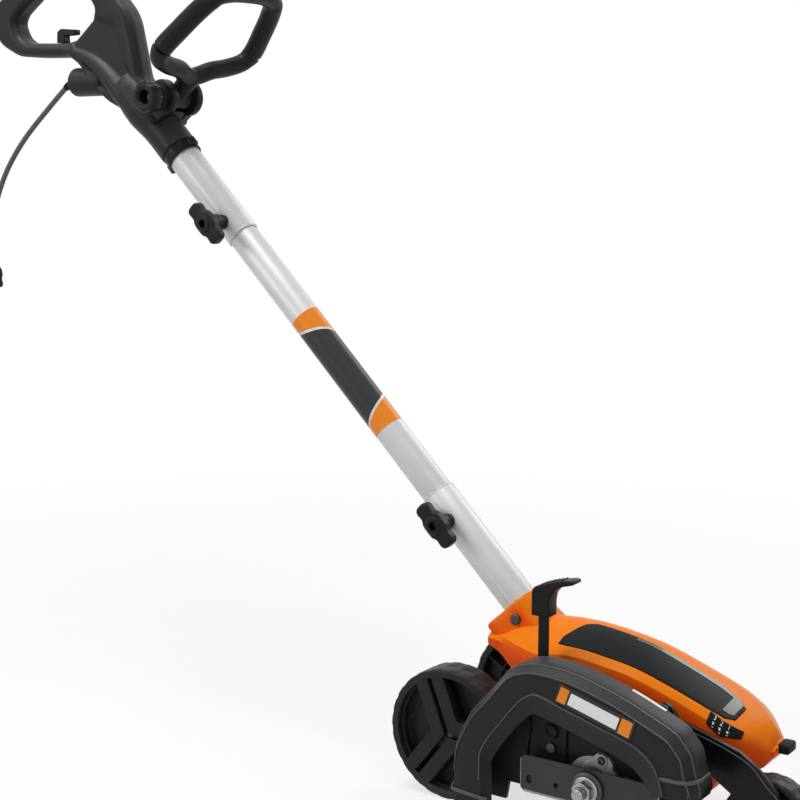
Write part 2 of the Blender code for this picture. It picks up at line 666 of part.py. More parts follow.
def make_guard():
    """The blade guard: a deep arch, open below, with a chamfered rim and a bevelled window."""
    outline = GUARD_OUTLINE + GUARD_BACK
    chamfer = inset(outline, 8.5)
    shape = [(outline, GUARD_INNER_Y), (outline, GUARD_OUTER_Y + 15), (chamfer, GUARD_OUTER_Y)]
    guard = place("blade_guard", loft([[(x, y, z) for x, z in loop] for loop, y in shape]), "chassis",
                  "charcoal_plastic")
    space = inset([(x, z - 60 if z < 90 else z) for x, z in outline], GUARD_WALL)
    deep = inset(space, 6.0)
    back = GUARD_INNER_Y - GUARD_BACK_WALL
    shape = [(space, back), (space, GUARD_OUTER_Y + 17), (deep, WINDOW_LIP_Y)]
    cut(guard, tool("guard_space", loft([[(x, y, z) for x, z in loop] for loop, y in shape])))
    shape = [(WINDOW_RIDGE, GUARD_OUTER_Y - 0.4), (WINDOW_EDGE, WINDOW_LIP_Y + 0.4)]
    cut(guard,
        tool("window", loft([[(x, y, z) for x, z in loop] for loop, y in shape])),
        tool("nose_hole", cross_rod(SPINDLE, back - 4, GUARD_INNER_Y + 4, NOSE_RADIUS + GAP, 28)))
    for number, (x, z) in enumerate(GUARD_SCREWS):
        cut(guard, tool("guard_screw_hole_%d" % number, cross_rod(
            (x, z), back - 4, GUARD_INNER_Y + 4, SCREW_RADIUS + GAP, 12)))
        profile = solid_profile((5.5, 3.2), (5.5, 0), (SCREW_RADIUS, 0), (SCREW_RADIUS, -16))
        turned("guard_screw_%d" % (number + 1), profile, (x, back - GAP, z), (0, -1, 0), "chassis",
               "dark_steel", 12, closed=False)
    place("guard_badge_plate", loft([[(x, y, z) for x, z in BADGE] for y in
                                     (GUARD_OUTER_Y - GAP, GUARD_OUTER_Y - 1.8)]), "chassis",
          "plain_white")


def make_motor():
    """The stator, the rotor with its pinion, the fan and the bearings."""
    half = MOTOR_HALF_LENGTH
    bore = ROTOR_RADIUS + AIR_GAP
    profile = [(bore + 9, half + 8), (STATOR_RADIUS - 4, half + 6), (STATOR_RADIUS - 4, half),
               (STATOR_RADIUS, half), (STATOR_RADIUS, -half), (STATOR_RADIUS - 4, -half),
               (STATOR_RADIUS - 4, -half - 6), (bore + 9, -half - 8), (bore, -half), (bore, half)]
    turned("motor_stator", profile, (MOTOR[0], 0, MOTOR[1]), (0, -1, 0), "chassis", "copper", 28)
    shaft = MOTOR_SHAFT_RADIUS
    profile = solid_profile((shaft, 56), (shaft, half), (ROTOR_RADIUS, half), (ROTOR_RADIUS, -half),
                            (14, -half - 2), (14, -half - 14), (shaft, -half - 14), (shaft, -half - 39))
    rotor = turned("motor_rotor", profile, (MOTOR[0], 0, MOTOR[1]), (0, -1, 0), "rotor",
                   "bright_steel", 24, closed=False)
    distance = (Vector(MOTOR) - Vector(SPINDLE)).length
    heading = math.atan2(MOTOR[1] - SPINDLE[1], MOTOR[0] - SPINDLE[0])
    share = PINION_TEETH / (PINION_TEETH + DRIVEN_TEETH)
    join(rotor, tool("pinion", plate(
        gear_outline(MOTOR, distance * share, PINION_TEETH, heading + math.pi), GEAR_FROM, GEAR_TO)))
    fan = turned("cooling_fan", sleeve(34, shaft + GAP, 2.5), (MOTOR[0], half + 18, MOTOR[1]),
                 (0, 1, 0), "rotor", "black_plastic", 24)
    join(fan, tool("fan_blades", fan_blades(half + 18)))
    seats = (("motor_bearing_right", MOTOR, PLATE_FROM + GAP, MOTOR_BEARING_RADIUS, shaft),
             ("motor_bearing_left", MOTOR, half + 32, MOTOR_BEARING_RADIUS, shaft),
             ("spindle_bearing_inner", SPINDLE, PLATE_FROM + GAP, SPINDLE_BEARING_RADIUS, SPINDLE_RADIUS),
             ("spindle_bearing_outer", SPINDLE, CASE_FRONT + 2, SPINDLE_BEARING_RADIUS, SPINDLE_RADIUS))
    for name, centre, y, outer, inner in seats:
        turned(name, sleeve(outer, inner + RUNNING_GAP, BEARING_WIDTH), (centre[0], y, centre[1]),
               (0, 1, 0), "chassis", "bright_steel", 20)
    return tool("driven_gear", plate(
        gear_outline(SPINDLE, distance * (1 - share), DRIVEN_TEETH, heading + math.pi / DRIVEN_TEETH),
        GEAR_FROM, GEAR_TO))


def fan_blades(y):
    """Seven straight fan blades in one mesh."""
    builder = bmesh.new()
    for number in range(7):
        angle = 2 * math.pi * number / 7
        turn = Matrix.Rotation(angle, 4, "Y")
        spot = Matrix.Translation(at(MOTOR[0], y, MOTOR[1])) @ turn @ Matrix.Translation(at(22, 4.5, 0))
        bmesh.ops.create_cube(builder, size=1.0, matrix=spot @ Matrix.Diagonal((0.018, 0.007, 0.0018, 1)))
    return finish_mesh(builder, "fan_blades")


def make_drive(driven_gear):
    """The gearbox plate and case, the spindle, and the blade clamped on it."""
    distance_radius = SPINDLE[1] - DECK_FLOOR - SHELL_WALL - GAP
    plate_piece = place("gearbox_plate", plate(
        capsule(MOTOR, MOTOR_BEARING_RADIUS + 9, SPINDLE, distance_radius), PLATE_FROM, PLATE_TO),
        "chassis", "cast_alloy")
    shaft_clearance = 2.0
    for number, (centre, seat, shaft) in enumerate((
            (MOTOR, MOTOR_BEARING_RADIUS, MOTOR_SHAFT_RADIUS),
            (SPINDLE, SPINDLE_BEARING_RADIUS, SPINDLE_RADIUS))):
        cut(plate_piece,
            tool("plate_seat_%d" % number, cross_rod(
                centre, PLATE_FROM - 2, PLATE_FROM + BEARING_WIDTH + GAP, seat + GAP, 20)),
            tool("plate_hole_%d" % number, cross_rod(centre, PLATE_FROM - 2, PLATE_TO + 2,
                                                     shaft + shaft_clearance, 20)))
    seat_end = -CASE_FRONT - BEARING_WIDTH - 2 - GAP
    profile = [(NOSE_RADIUS, -CASE_FRONT), (NOSE_RADIUS, -GUARD_INNER_Y - GAP),
               (SHOULDER_RADIUS, -GUARD_INNER_Y - GAP), (SHOULDER_RADIUS, DECK_HALF_WIDTH + GAP),
               (CASE_SPIGOT, DECK_HALF_WIDTH + GAP), (CASE_SPIGOT, -CASE_BACK),
               (SPINDLE_RADIUS + 1.5, -CASE_BACK), (SPINDLE_RADIUS + 1.5, seat_end),
               (SPINDLE_BEARING_RADIUS + GAP, seat_end), (SPINDLE_BEARING_RADIUS + GAP, -CASE_FRONT)]
    turned("gearbox_case", profile, (SPINDLE[0], 0, SPINDLE[1]), (0, -1, 0), "chassis", "cast_alloy", 28)

    face = -BLADE_Y + BLADE_THICKNESS / 2
    shaft = SPINDLE_RADIUS
    profile = solid_profile((shaft - 1, face + 26), (shaft, face + 25), (shaft, 41))
    spindle = turned("blade_spindle", profile, (SPINDLE[0], 0, SPINDLE[1]), (0, -1, 0), "spindle",
                     "bright_steel", 24, closed=False)
    join(spindle, driven_gear)
    seat = -CASE_FRONT + 1.0
    back_face = face - BLADE_THICKNESS - GAP
    turned("inner_flange", sleeve(22, shaft + GAP, back_face - seat), (SPINDLE[0], -seat, SPINDLE[1]),
           (0, -1, 0), "spindle", "dark_steel", 28)
    blade = place("cutting_blade", plate(blade_outline(), BLADE_Y - BLADE_THICKNESS / 2,
                                         BLADE_Y + BLADE_THICKNESS / 2), "spindle", "dark_steel")
    x, z = SPINDLE
    through = (BLADE_Y - 9, BLADE_Y + 9)
    cut(blade, tool("blade_bore", cross_rod(SPINDLE, *through, shaft + GAP)),
        tool("blade_round_hole", cross_rod((x - 40, z - 6), *through, 3, 16)),
        tool("blade_slot", plate(capsule((x - 75, z - 8), 3.4, (x - 75, z - 4), 3.4, 6), *through)))
    turned("outer_flange", [(17, 5), (20, 3.4), (20, 0), (shaft + GAP, 0), (shaft + GAP, 5)],
           (SPINDLE[0], -face - GAP, SPINDLE[1]), (0, -1, 0), "spindle", "dark_steel", 28)
    seat = -face - 5 - 2 * GAP
    place("spindle_nut", hexagon_nut(SPINDLE, seat, seat - 11, 12.5, shaft + GAP), "spindle",
          "bright_steel")


def blade_outline():
    """A straight edger blade with clipped corners."""
    half, wide, clip = BLADE_LENGTH / 2, BLADE_WIDTH / 2, 5.0
    corners = [(-half, -wide + clip), (-half, wide - clip), (-half + clip, wide), (half - clip, wide),
               (half, wide - clip), (half, -wide + clip), (half - clip, -wide), (-half + clip, -wide)]
    return [(SPINDLE[0] + x, SPINDLE[1] + z) for x, z in corners]


def wheel(name, axle, radius, width, track, side, spokes=3):
    """A moulded wheel: tread ring, thin web, hub, and double-bar spokes on its outer face."""
    half = width / 2
    bore = AXLE_RADIUS + RUNNING_GAP
    hub = radius * 0.33
    profile = [(radius - 4, half), (radius, half - 5), (radius, -half + 5), (radius - 4, -half),
               (radius - 11, -half), (radius - 12, -6), (hub, -6), (hub - 1, -half), (bore, -half),
               (bore, half), (hub - 1, half), (hub, -2), (radius - 12, -2), (radius - 11, half)]
    centre = (axle[0], side * track / 2, axle[1])
    piece = turned(name, profile, centre, (0, side, 0), name, "tyre_black", 24)
    builder = bmesh.new()
    length = radius - 11.5 - hub
    bar = radius * 0.17
    for number in range(spokes):
        turn = Matrix.Rotation(math.radians(SPOKE_TURN) + 2 * math.pi * number / spokes, 4, "Y")
        for offset in (-bar * 0.8, bar * 0.8):
            spot = Matrix.Translation(at(*centre)) @ turn @ Matrix.Translation(
                at(hub + length / 2, side * (half - 6) / 2, offset))
            bmesh.ops.create_cube(builder, size=1.0, matrix=spot @ Matrix.Diagonal(
                ((length + 1.6) * MM, (half - 0.5) * MM, bar * MM, 1)))
    join(piece, tool(name + "_spokes", finish_mesh(builder, "spokes")))
    return piece


def make_running_gear():
    """The axles, the three wheels and the caps that keep the rear ones on."""
    for name, side in (("right", -1), ("left", 1)):
        wheel("rear_wheel_" + name, REAR_AXLE, REAR_WHEEL_RADIUS, REAR_WHEEL_WIDTH, REAR_TRACK, side)
    wheel("front_wheel", FRONT_AXLE, FRONT_WHEEL_RADIUS, FRONT_WHEEL_WIDTH, FRONT_TRACK, -1)
    seat = (REAR_TRACK + REAR_WHEEL_WIDTH) / 2 + GAP
    end = seat + HUB_CAP_DEPTH
    cap, rim = HUB_CAP_RADIUS, HUB_CAP_RADIUS - 4
    profile = solid_profile((rim, end), (cap, end - 2), (cap, seat), (AXLE_RADIUS, seat),
                            (AXLE_RADIUS, -seat), (cap, -seat), (cap, -end + 2), (rim, -end))
    turned("rear_axle", profile, (REAR_AXLE[0], 0, REAR_AXLE[1]), (0, 1, 0), "chassis", "bright_steel",
           20, closed=False)
    arm_outer = -ARM_INNER_Y - ARM_THICKNESS
    wheel_inner = -(FRONT_TRACK - FRONT_WHEEL_WIDTH) / 2
    place("front_axle", cross_rod(FRONT_AXLE, arm_outer - 2, wheel_inner + 2, AXLE_RADIUS, 16), "depth_arm",
          "bright_steel")
    place("arm_pivot_shaft", cross_rod(ARM_PIVOT, arm_outer, ARM_INNER_Y, AXLE_RADIUS, 16), "chassis",
          "bright_steel")


def arm_outline():
    """A fender-like arm from the pivot over the front wheel, with a crank lug above the pivot."""
    pivot, axle, half = Vector(ARM_PIVOT), Vector(FRONT_AXLE), ARM_WIDTH / 2
    top = [(pivot.x + 51, pivot.y + 2), (pivot.x + 89, pivot.y - 10), (pivot.x + 111, pivot.y - 25),
           (axle.x + 16, axle.y + 40), (axle.x + 22, axle.y + 12), (axle.x + 14, axle.y - 9)]
    under = [(axle.x, axle.y - 13), (axle.x - 14, axle.y - 4), (axle.x - 32, axle.y + 25),
             (axle.x - 67, axle.y + 48), (pivot.x + 22, pivot.y - half - 2)]
    heel = [(pivot.x + half * math.cos(a), pivot.y + half * math.sin(a))
            for a in [math.radians(v) for v in (-100, -130, -160, -190, -215)]]
    lug = [(pivot.x - 8, pivot.y + CRANK + 4), (pivot.x, pivot.y + CRANK + 8),
           (pivot.x + 8, pivot.y + CRANK + 4), (pivot.x + 16, pivot.y + 12)]
    return top + under + heel + lug


def make_depth_setting():
    """The front arm, the lever with its grip, and the rod that joins lever and arm."""
    crank_pin = (ARM_PIVOT[0], ARM_PIVOT[1] + CRANK)
    low, high = -ARM_INNER_Y - ARM_THICKNESS, -ARM_INNER_Y
    arm = place("front_arm", plate(arm_outline(), low, high, rounding=1.0), "depth_arm", "black_plastic")
    cut(arm, tool("arm_pivot_bore", cross_rod(ARM_PIVOT, low - 5, high + 5, AXLE_RADIUS + RUNNING_GAP, 16)),
        tool("arm_axle_bore", cross_rod(FRONT_AXLE, low - 5, high + 5, AXLE_RADIUS + GAP, 16)))
    join(arm, tool("crank_pin", cross_rod(crank_pin, ROD_OUTER_Y, low + 1, PIN_RADIUS, 16)))
    lever_pin = (LEVER_PIVOT[0], LEVER_PIVOT[1] + CRANK)
    rod_piece = place("link_rod", plate(
        capsule(lever_pin, ROD_WIDTH / 2 + 1, crank_pin, ROD_WIDTH / 2 + 1.5, 8), ROD_OUTER_Y, ROD_INNER_Y),
        "link_rod", "dark_steel")
    small_pin = PIN_RADIUS - 1.2
    for name, pin, bore in (("lever", lever_pin, small_pin + RUNNING_GAP),
                            ("crank", crank_pin, PIN_RADIUS + 2 * RUNNING_GAP)):
        cut(rod_piece, tool("rod_%s_bore" % name, cross_rod(pin, ROD_OUTER_Y - 5, ROD_INNER_Y + 5,
                                                            bore, 16)))

    x, z = LEVER_PIVOT
    half = LEVER_WIDTH / 2
    bar = place("depth_lever", plate(
        [(x - half, z - 6), (x - half + 3, z - 10), (x + half - 3, z - 10), (x + half, z - 6),
         (x + half, z + LEVER_HEIGHT), (x - half, z + LEVER_HEIGHT)], LEVER_OUTER_Y, LEVER_INNER_Y),
        "depth_lever", "black_plastic")
    join(bar, tool("lever_rod_pin", cross_rod(lever_pin, LEVER_INNER_Y - 1, ROD_INNER_Y, small_pin, 16)))
    cut(bar, tool("lever_bore", cross_rod(LEVER_PIVOT, LEVER_OUTER_Y - 5, LEVER_INNER_Y + 5,
                                          PIN_RADIUS + RUNNING_GAP, 16)))
    grip = place("lever_grip", plate([(x + a, z + b) for a, b in GRIP_OUTLINE], LEVER_OUTER_Y - 8,
                                     LEVER_INNER_Y + 8, rounding=2.0), "depth_lever", "black_plastic")
    cut(grip, tool("grip_socket", block((x - half - GAP, LEVER_OUTER_Y - GAP, z + 80),
                                        (x + half + GAP, LEVER_INNER_Y + GAP, z + LEVER_HEIGHT + GAP))))
    inner = -DECK_HALF_WIDTH + 6
    profile = solid_profile((6, -LEVER_OUTER_Y + 3), (6, -LEVER_OUTER_Y + GAP),
                            (PIN_RADIUS, -LEVER_OUTER_Y + GAP), (PIN_RADIUS, -inner))
    turned("lever_pivot_pin", profile, (x, 0, z), (0, -1, 0), "chassis", "bright_steel", 16, closed=False)


def knob_wings(station, y_from, y_to):
    """A two-winged thumb grip along the tube."""
    centre = on_tube(station)
    along = Vector((TUBE_DIRECTION.x, TUBE_DIRECTION.z))
    across = Vector((-along.y, along.x))
    shape = [(31, 0), (29, 7), (22, 10), (14, 9), (8, 13), (0, 14)]
    shape = shape + [(-a, b) for a, b in reversed(shape[:-1])]
    shape = shape + [(a, -b) for a, b in reversed(shape[1:-1])]
    outline = []
    for a, b in shape:
        spot = Vector((centre[0], centre[2])) + along * a + across * b
        outline.append((spot.x, spot.y))
    return plate(outline, y_from, y_to, rounding=3.0)


def make_tubes():
    """The telescopic tube and the two wing knobs that clamp it."""
    bore = TUBE_RADIUS - TUBE_WALL
    middle = bore - GAP
    lower = turned("lower_tube", sleeve(TUBE_RADIUS, bore, LOWER_TUBE_END - SOCKET_END),
                   on_tube(SOCKET_END), TUBE_DIRECTION, "chassis", "tube_silver", 32)
    turned("middle_tube", sleeve(middle, middle - MIDDLE_TUBE_WALL, MIDDLE_TUBE_TO - MIDDLE_TUBE_FROM),
           on_tube(MIDDLE_TUBE_FROM), TUBE_DIRECTION, "middle_tube", "tube_silver", 32)
    upper = turned("upper_tube", sleeve(TUBE_RADIUS, bore, UPPER_TUBE_TO - UPPER_TUBE_FROM),
                   on_tube(UPPER_TUBE_FROM), TUBE_DIRECTION, "upper_tube", "tube_silver", 32)
    for name, tube, body, station, face in (("lower", lower, "chassis", LOWER_KNOB, -56),
                                            ("upper", upper, "upper_tube", UPPER_KNOB, -62)):
        centre = on_tube(station)
        spot = (centre[0], centre[2])
        cut(tube, tool(name + "_bolt_hole", cross_rod(spot, -40, -5, BOLT_RADIUS + RUNNING_GAP, 16)))
        bush_end = -TUBE_RADIUS - 9
        bush = place(name + "_clamp_bush", cross_rod(spot, bush_end, -TUBE_RADIUS + 6, 10, 20), body,
                     "black_plastic")
        cut(bush,
            tool(name + "_bush_saddle", rod(on_tube(station - 30), on_tube(station + 30),
                                            TUBE_RADIUS + GAP, sides=32)),
            tool(name + "_bush_bore", cross_rod(spot, -50, -5, BOLT_RADIUS + RUNNING_GAP, 16)))
        knob = place(name + "_wing_knob", knob_wings(station, face + 2, face + 16), name + "_knob",
                     "charcoal_plastic")
        join(knob,
             tool(name + "_knob_hub", cross_rod(spot, face, bush_end - GAP, 11.6, 18)),
             tool(name + "_knob_bolt", cross_rod(spot, face + 6, -middle - RUNNING_GAP, BOLT_RADIUS, 16)))
    cut(lower, tool("tube_pin_hole", cross_rod(SOCKET_PIN, -60, 60, PIN_RADIUS + GAP, 16)))
    head, seat = PIN_HEAD_RADIUS, SOCKET_PIN_Y + GAP
    end = seat + 3.5
    profile = solid_profile((head - 1, end), (head, end - 1), (head, seat), (PIN_RADIUS, seat),
                            (PIN_RADIUS, -seat), (head, -seat), (head, -end + 1), (head - 1, -end))
    turned("socket_pin", profile, (SOCKET_PIN[0], 0, SOCKET_PIN[1]), (0, -1, 0), "chassis", "dark_steel",
           16, closed=False)


def make_handle():
    """The rear handle in two halves, with its switch parts and the cord's outlet."""
    neck = [(25, UPPER_TUBE_TO + 40), (30, UPPER_TUBE_TO + 20), (NECK_ROOT_RADIUS, UPPER_TUBE_TO),
            (NECK_ROOT_RADIUS, UPPER_TUBE_TO - 13), (NECK_RADIUS, COLLAR_TO + 32),
            (NECK_RADIUS, COLLAR_TO + GAP)]
    bore = TUBE_RADIUS + GAP
    space = tool("switch_space", block((-684, -5.3, 995.7), (-660.7, 5.3, 1012.3)))
    slot = tool("trigger_slot", plate(TRIGGER_SLOT, -TRIGGER_HALF_WIDTH - GAP, TRIGGER_HALF_WIDTH + GAP))
    pin_hole = tool("trigger_pin_hole", cross_rod(TRIGGER_PIVOT, -9.7, 9.7, 2.5 + RUNNING_GAP, 10))
    tube_space = tool("handle_bore", rod(on_tube(COLLAR_FROM), on_tube(UPPER_TUBE_TO + GAP), bore,
                                         sides=32))
    button_hole = tool("button_hole", cross_rod(LOCK_BUTTON, -30, -5, 5 + RUNNING_GAP, 16))
    grip_shape = plate(HANDLE_OUTLINE, -HANDLE_HALF_WIDTH, HANDLE_HALF_WIDTH, [HANDLE_OPENING],
                       rounding=10.0, steps=2)
    for name, side in (("right", -1), ("left", 1)):
        shell = place("handle_shell_" + name, grip_shape.copy(), "upper_tube", "charcoal_plastic")
        join(shell, turned_tool("neck_" + name, [(0, neck[0][1]), *neck, (0, neck[-1][1])], on_tube(0),
                                TUBE_DIRECTION, 32, closed=False),
             tool("cord_cup_" + name, rod((-640, 0, 857), (CUP_END, 0, 857), 20)))
        cut(shell, tube_space, slot, space, pin_hole)
        if side < 0:
            cut(shell, button_hole)
        seam = side * GAP / 2
        low = (-950, seam if side < 0 else -90, 650)
        high = (-400, 90 if side < 0 else seam, 1150)
        cut(shell, tool("other_half_" + name, block(low, high)))
    trigger = place("trigger", plate(TRIGGER_OUTLINE, -TRIGGER_HALF_WIDTH, TRIGGER_HALF_WIDTH,
                                     rounding=1.5), "trigger", "orange_shell")
    join(trigger, tool("trigger_pin", cross_rod(TRIGGER_PIVOT, -9, 9, 2.5, 10)))
    place("switch_block", block((-683.7, -5, 996), (-661, 5, 1012)), "upper_tube", "black_plastic")
    place("lock_button", cross_rod(LOCK_BUTTON, -21, -9.5, 5, 20), "lock_button", "soft_black")
    place("cord_hook", plate([(x, z + GAP) for x, z in HOOK_OUTLINE], -6, 6, rounding=1.0), "upper_tube",
          "charcoal_plastic")
    collar = turned("neck_collar", sleeve(TUBE_RADIUS + 3, bore, COLLAR_TO - COLLAR_FROM),
                    on_tube(COLLAR_FROM), TUBE_DIRECTION, "upper_tube", "charcoal_plastic", 32)
    for number, rise in enumerate((30, -30)):
        join(collar, tool("collar_lug_%d" % number, rod(
            on_tube(COLLAR_FROM + 2, 0, rise * 0.8), on_tube(COLLAR_TO - 2, 0, rise * 0.8), 7, sides=16)))
    cut(collar, tool("collar_bore", rod(on_tube(COLLAR_FROM - 5), on_tube(COLLAR_TO + 5), bore, sides=32)))


def aux_point(across, out):
    """A point of the loop's plane, which leans with the hub."""
    step = out / math.sqrt(2)
    return (AUX_HUB[0] + step, across, AUX_HUB[2] + step)


def make_aux_handle():
    """The loop handle in front, its bracket on the neck, and the knob that locks its tilt."""
    mirrored = [(-across, out) for across, out in reversed(LOOP_POINTS[1:-1])]
    points = [aux_point(*point) for point in LOOP_POINTS + mirrored]
    path = smooth_path(points + points[:1], 2)[:-1]
    hub = (AUX_HUB[0], AUX_HUB[2])
    loop = place("aux_loop", closed_sweep(path, AUX_BAR_RADIUS), "aux_handle", "charcoal_plastic")
    width = AUX_HUB_HALF_WIDTH
    join(loop,
         tool("aux_stem", rod(aux_point(0, 5), aux_point(0, 40), 13.9, 15.2, 18)),
         tool("aux_barrel", cross_rod(hub, -width, width, AUX_HUB_RADIUS, 24)))
    cut(loop, tool("aux_bore", cross_rod(hub, -60, 60, BOLT_RADIUS + RUNNING_GAP, 16)))

    bracket = place("aux_bracket", rod(on_tube(AUX_STATION - 16), on_tube(AUX_STATION + 14),
                                       BRACKET_RADIUS, sides=36), "upper_tube", "charcoal_plastic")
    low = on_tube(AUX_STATION, 0, 18)
    for name, y_from, y_to in (("right", -EAR_OUTER_Y, -width - GAP), ("left", width + GAP, EAR_OUTER_Y)):
        join(bracket, tool("aux_ear_" + name, plate(
            capsule((low[0], low[2]), 16, hub, 20, 10), y_from, y_to)))
    upright = Matrix.Translation(at(*on_tube(AUX_STATION))) @ Matrix.Rotation(math.radians(45), 4, "Y")
    cut(bracket,
        tool("under_saddle", block((-60, -60, -60), (60, 60, BRACKET_RISE)), upright),
        turned_tool("neck_space", solid_profile(
            (NECK_ROOT_RADIUS + GAP, UPPER_TUBE_TO), (NECK_ROOT_RADIUS + GAP, UPPER_TUBE_TO - 13),
            (NECK_RADIUS + GAP, COLLAR_TO + 32), (NECK_RADIUS + GAP, COLLAR_TO + 10)),
            on_tube(0), TUBE_DIRECTION, 32, closed=False),
        tool("aux_hub_space", cross_rod(hub, -width - GAP, width + GAP, AUX_HUB_RADIUS + 2, 28)),
        tool("bracket_bolt_bore", cross_rod(hub, -60, 60, BOLT_RADIUS + GAP, 16)))
    place("aux_bolt", cross_rod(hub, -EAR_OUTER_Y - 22, EAR_OUTER_Y + 10, BOLT_RADIUS, 16), "upper_tube",
          "bright_steel")
    place("aux_nut", hexagon_nut(hub, EAR_OUTER_Y + GAP, EAR_OUTER_Y + 7, 7.5, BOLT_RADIUS + GAP),
          "upper_tube", "bright_steel")
    knob = [(18, 34), (20.8, 31), (20.8, 17), (17.5, 14), (17, 0.3), (BOLT_RADIUS + GAP, 0.3),
            (BOLT_RADIUS + GAP, 33), (9, 34)]
    turned("aux_knob", [(r, h + EAR_OUTER_Y) for r, h in knob], (hub[0], 0, hub[1]), (0, -1, 0), "aux_knob",
           "charcoal_plastic", 28)


def hexagon_nut(centre, y_from, y_to, corner_radius, bore):
    """A six-sided nut across Y."""
    return plate(circle(centre, corner_radius, 6), y_from, y_to, [circle(centre, bore, 20)])


def closed_sweep(points, radius):
    """A round bar along a closed path."""
    curve = bpy.data.curves.new("loop", "CURVE")
    curve.dimensions = "3D"
    curve.bevel_depth = radius * MM
    curve.bevel_resolution = 2
    spline = curve.splines.new("POLY")
    spline.points.add(len(points) - 1)
    for point, spot in zip(spline.points, points):
        point.co = (*at(*spot), 1)
    spline.use_cyclic_u = True
    return curve_mesh(curve)


def tilted_ring(centre, heading, radius, count=16):
    """A ring square to a heading in the side view."""
    across = Vector((-heading[1], heading[0]))
    return [(centre[0] + across.x * radius * math.sin(a), radius * math.cos(a),
             centre[1] + across.y * radius * math.sin(a))
            for a in [2 * math.pi * i / count for i in range(count)]]


def make_cord():
    """The strain relief, the short lead that hangs from it, and its plug."""
    place("strain_relief", loft([
        tilted_ring((CUP_END - GAP, 857.0), (-1, 0), 9.0), tilted_ring((CUP_END - 4, 856.6), (-1, 0), 9.0),
        tilted_ring((CUP_END - 5, 856.4), (-0.98, -0.2), 6.6),
        tilted_ring((CUP_END - 13, 853.4), (-0.9, -0.43), 5.8),
        tilted_ring((CUP_END - 22, 849.9), (-0.8, -0.6), 5.0)]), "upper_tube", "soft_black")
    start = Vector(CORD_ROUTE[0])
    start += Vector((-0.8, 0, -0.6)) * GAP
    route = smooth_path([tuple(start), *CORD_ROUTE[1:]], 2)
    place("power_cord", sweep(route, CORD_DIAMETER / 2, 2), "upper_tube", "cord_grey")
    x, y, z = CORD_ROUTE[-1]
    top = z - GAP
    plug = place("power_plug", loft([
        [(x + wide * a, y + deep * b, top - drop) for a, b in octagon()]
        for wide, deep, drop in ((6, 6, 0), (6.5, 6.5, 14), (13, 10, 20), (14, 11, 44), (12, 10, 47))]),
        "upper_tube", "soft_black")
    for number, offset in enumerate((-6.3, 6.3)):
        join(plug, tool("plug_blade_%d" % number, block(
            (x + offset - 0.8, y - 3.2, top - 63), (x + offset + 0.8, y + 3.2, top - 45))))


def octagon():
    """Eight points round a unit circle, flat at the sides."""
    return circle((0, 0), 1.0, 8, math.pi / 8)


make_housing()
make_guard()
make_drive(make_motor())
make_running_gear()
make_depth_setting()
make_tubes()
make_handle()
make_aux_handle()
make_cord()
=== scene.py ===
import math

import bmesh
import bpy
import numpy as np
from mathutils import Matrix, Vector


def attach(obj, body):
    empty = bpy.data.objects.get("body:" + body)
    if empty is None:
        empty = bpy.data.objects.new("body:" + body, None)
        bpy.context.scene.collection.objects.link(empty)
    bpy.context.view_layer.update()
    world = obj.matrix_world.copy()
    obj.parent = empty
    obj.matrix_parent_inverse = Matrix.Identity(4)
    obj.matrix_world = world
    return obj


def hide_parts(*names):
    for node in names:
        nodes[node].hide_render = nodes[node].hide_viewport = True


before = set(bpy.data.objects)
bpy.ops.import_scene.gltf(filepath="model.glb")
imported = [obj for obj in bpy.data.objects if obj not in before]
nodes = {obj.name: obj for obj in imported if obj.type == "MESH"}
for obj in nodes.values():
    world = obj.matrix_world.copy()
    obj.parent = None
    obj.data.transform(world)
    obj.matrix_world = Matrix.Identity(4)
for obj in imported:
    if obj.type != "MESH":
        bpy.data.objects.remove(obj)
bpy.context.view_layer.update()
origin = np.array([216.0, 27.0, 0.0])
spindle = np.array([203.0, 70.0])  # x and z of the blade's axis


def toFrame(points):
    # millimetres from the rear axle become metres in the frame
    return (np.asarray(points, float) + origin) * 0.001


print("stage 1: camera, floor and light")
view = {
    "place": (1.2329, -1.6593, 0.7830), "turn": 34.6, "tilt": 9.1, "lens": 74.25, "sensor": 36.0,
    "farEnd": 60.0, "floorReach": 9.0, "floorTone": 0.9, "skyLight": 0.25, "whiteFrom": 0.75,
    "whiteTo": 1.9, "leastWhite": 0.7,
    "lamps": {  # place, aim, size and power of each soft light
        "overhead_softbox": ((-0.5, -0.5, 3.2), (0.1, 0, 0.4), 1.5, 62),
        "left_softbox": ((-1.9, -2.6, 1.5), (0.1, 0, 0.4), 1.2, 22),
        "right_softbox": ((2.6, -1.2, 1.6), (0.3, 0, 0.2), 1.0, 8),
        "back_softbox": ((0.8, 2.6, 2.0), (0, 0, 0.4), 1.6, 24)}}


def linked(name, data):
    # a new object of the scene
    made = bpy.data.objects.new(name, data)
    bpy.context.scene.collection.objects.link(made)
    return made


def makeCamera():
    # the photo's own view: a long lens, turned to the right of the side view and tilted down
    data = bpy.data.cameras.new("photo_camera")
    data.lens, data.sensor_width, data.clip_end = view["lens"], view["sensor"], view["farEnd"]
    camera = linked("photo_camera", data)
    camera.location = view["place"]
    camera.rotation_euler = (math.radians(90 - view["tilt"]), 0, math.radians(view["turn"]))
    bpy.context.scene.camera = camera


makeCamera()
bpy.context.scene.view_settings.view_transform = "Standard"


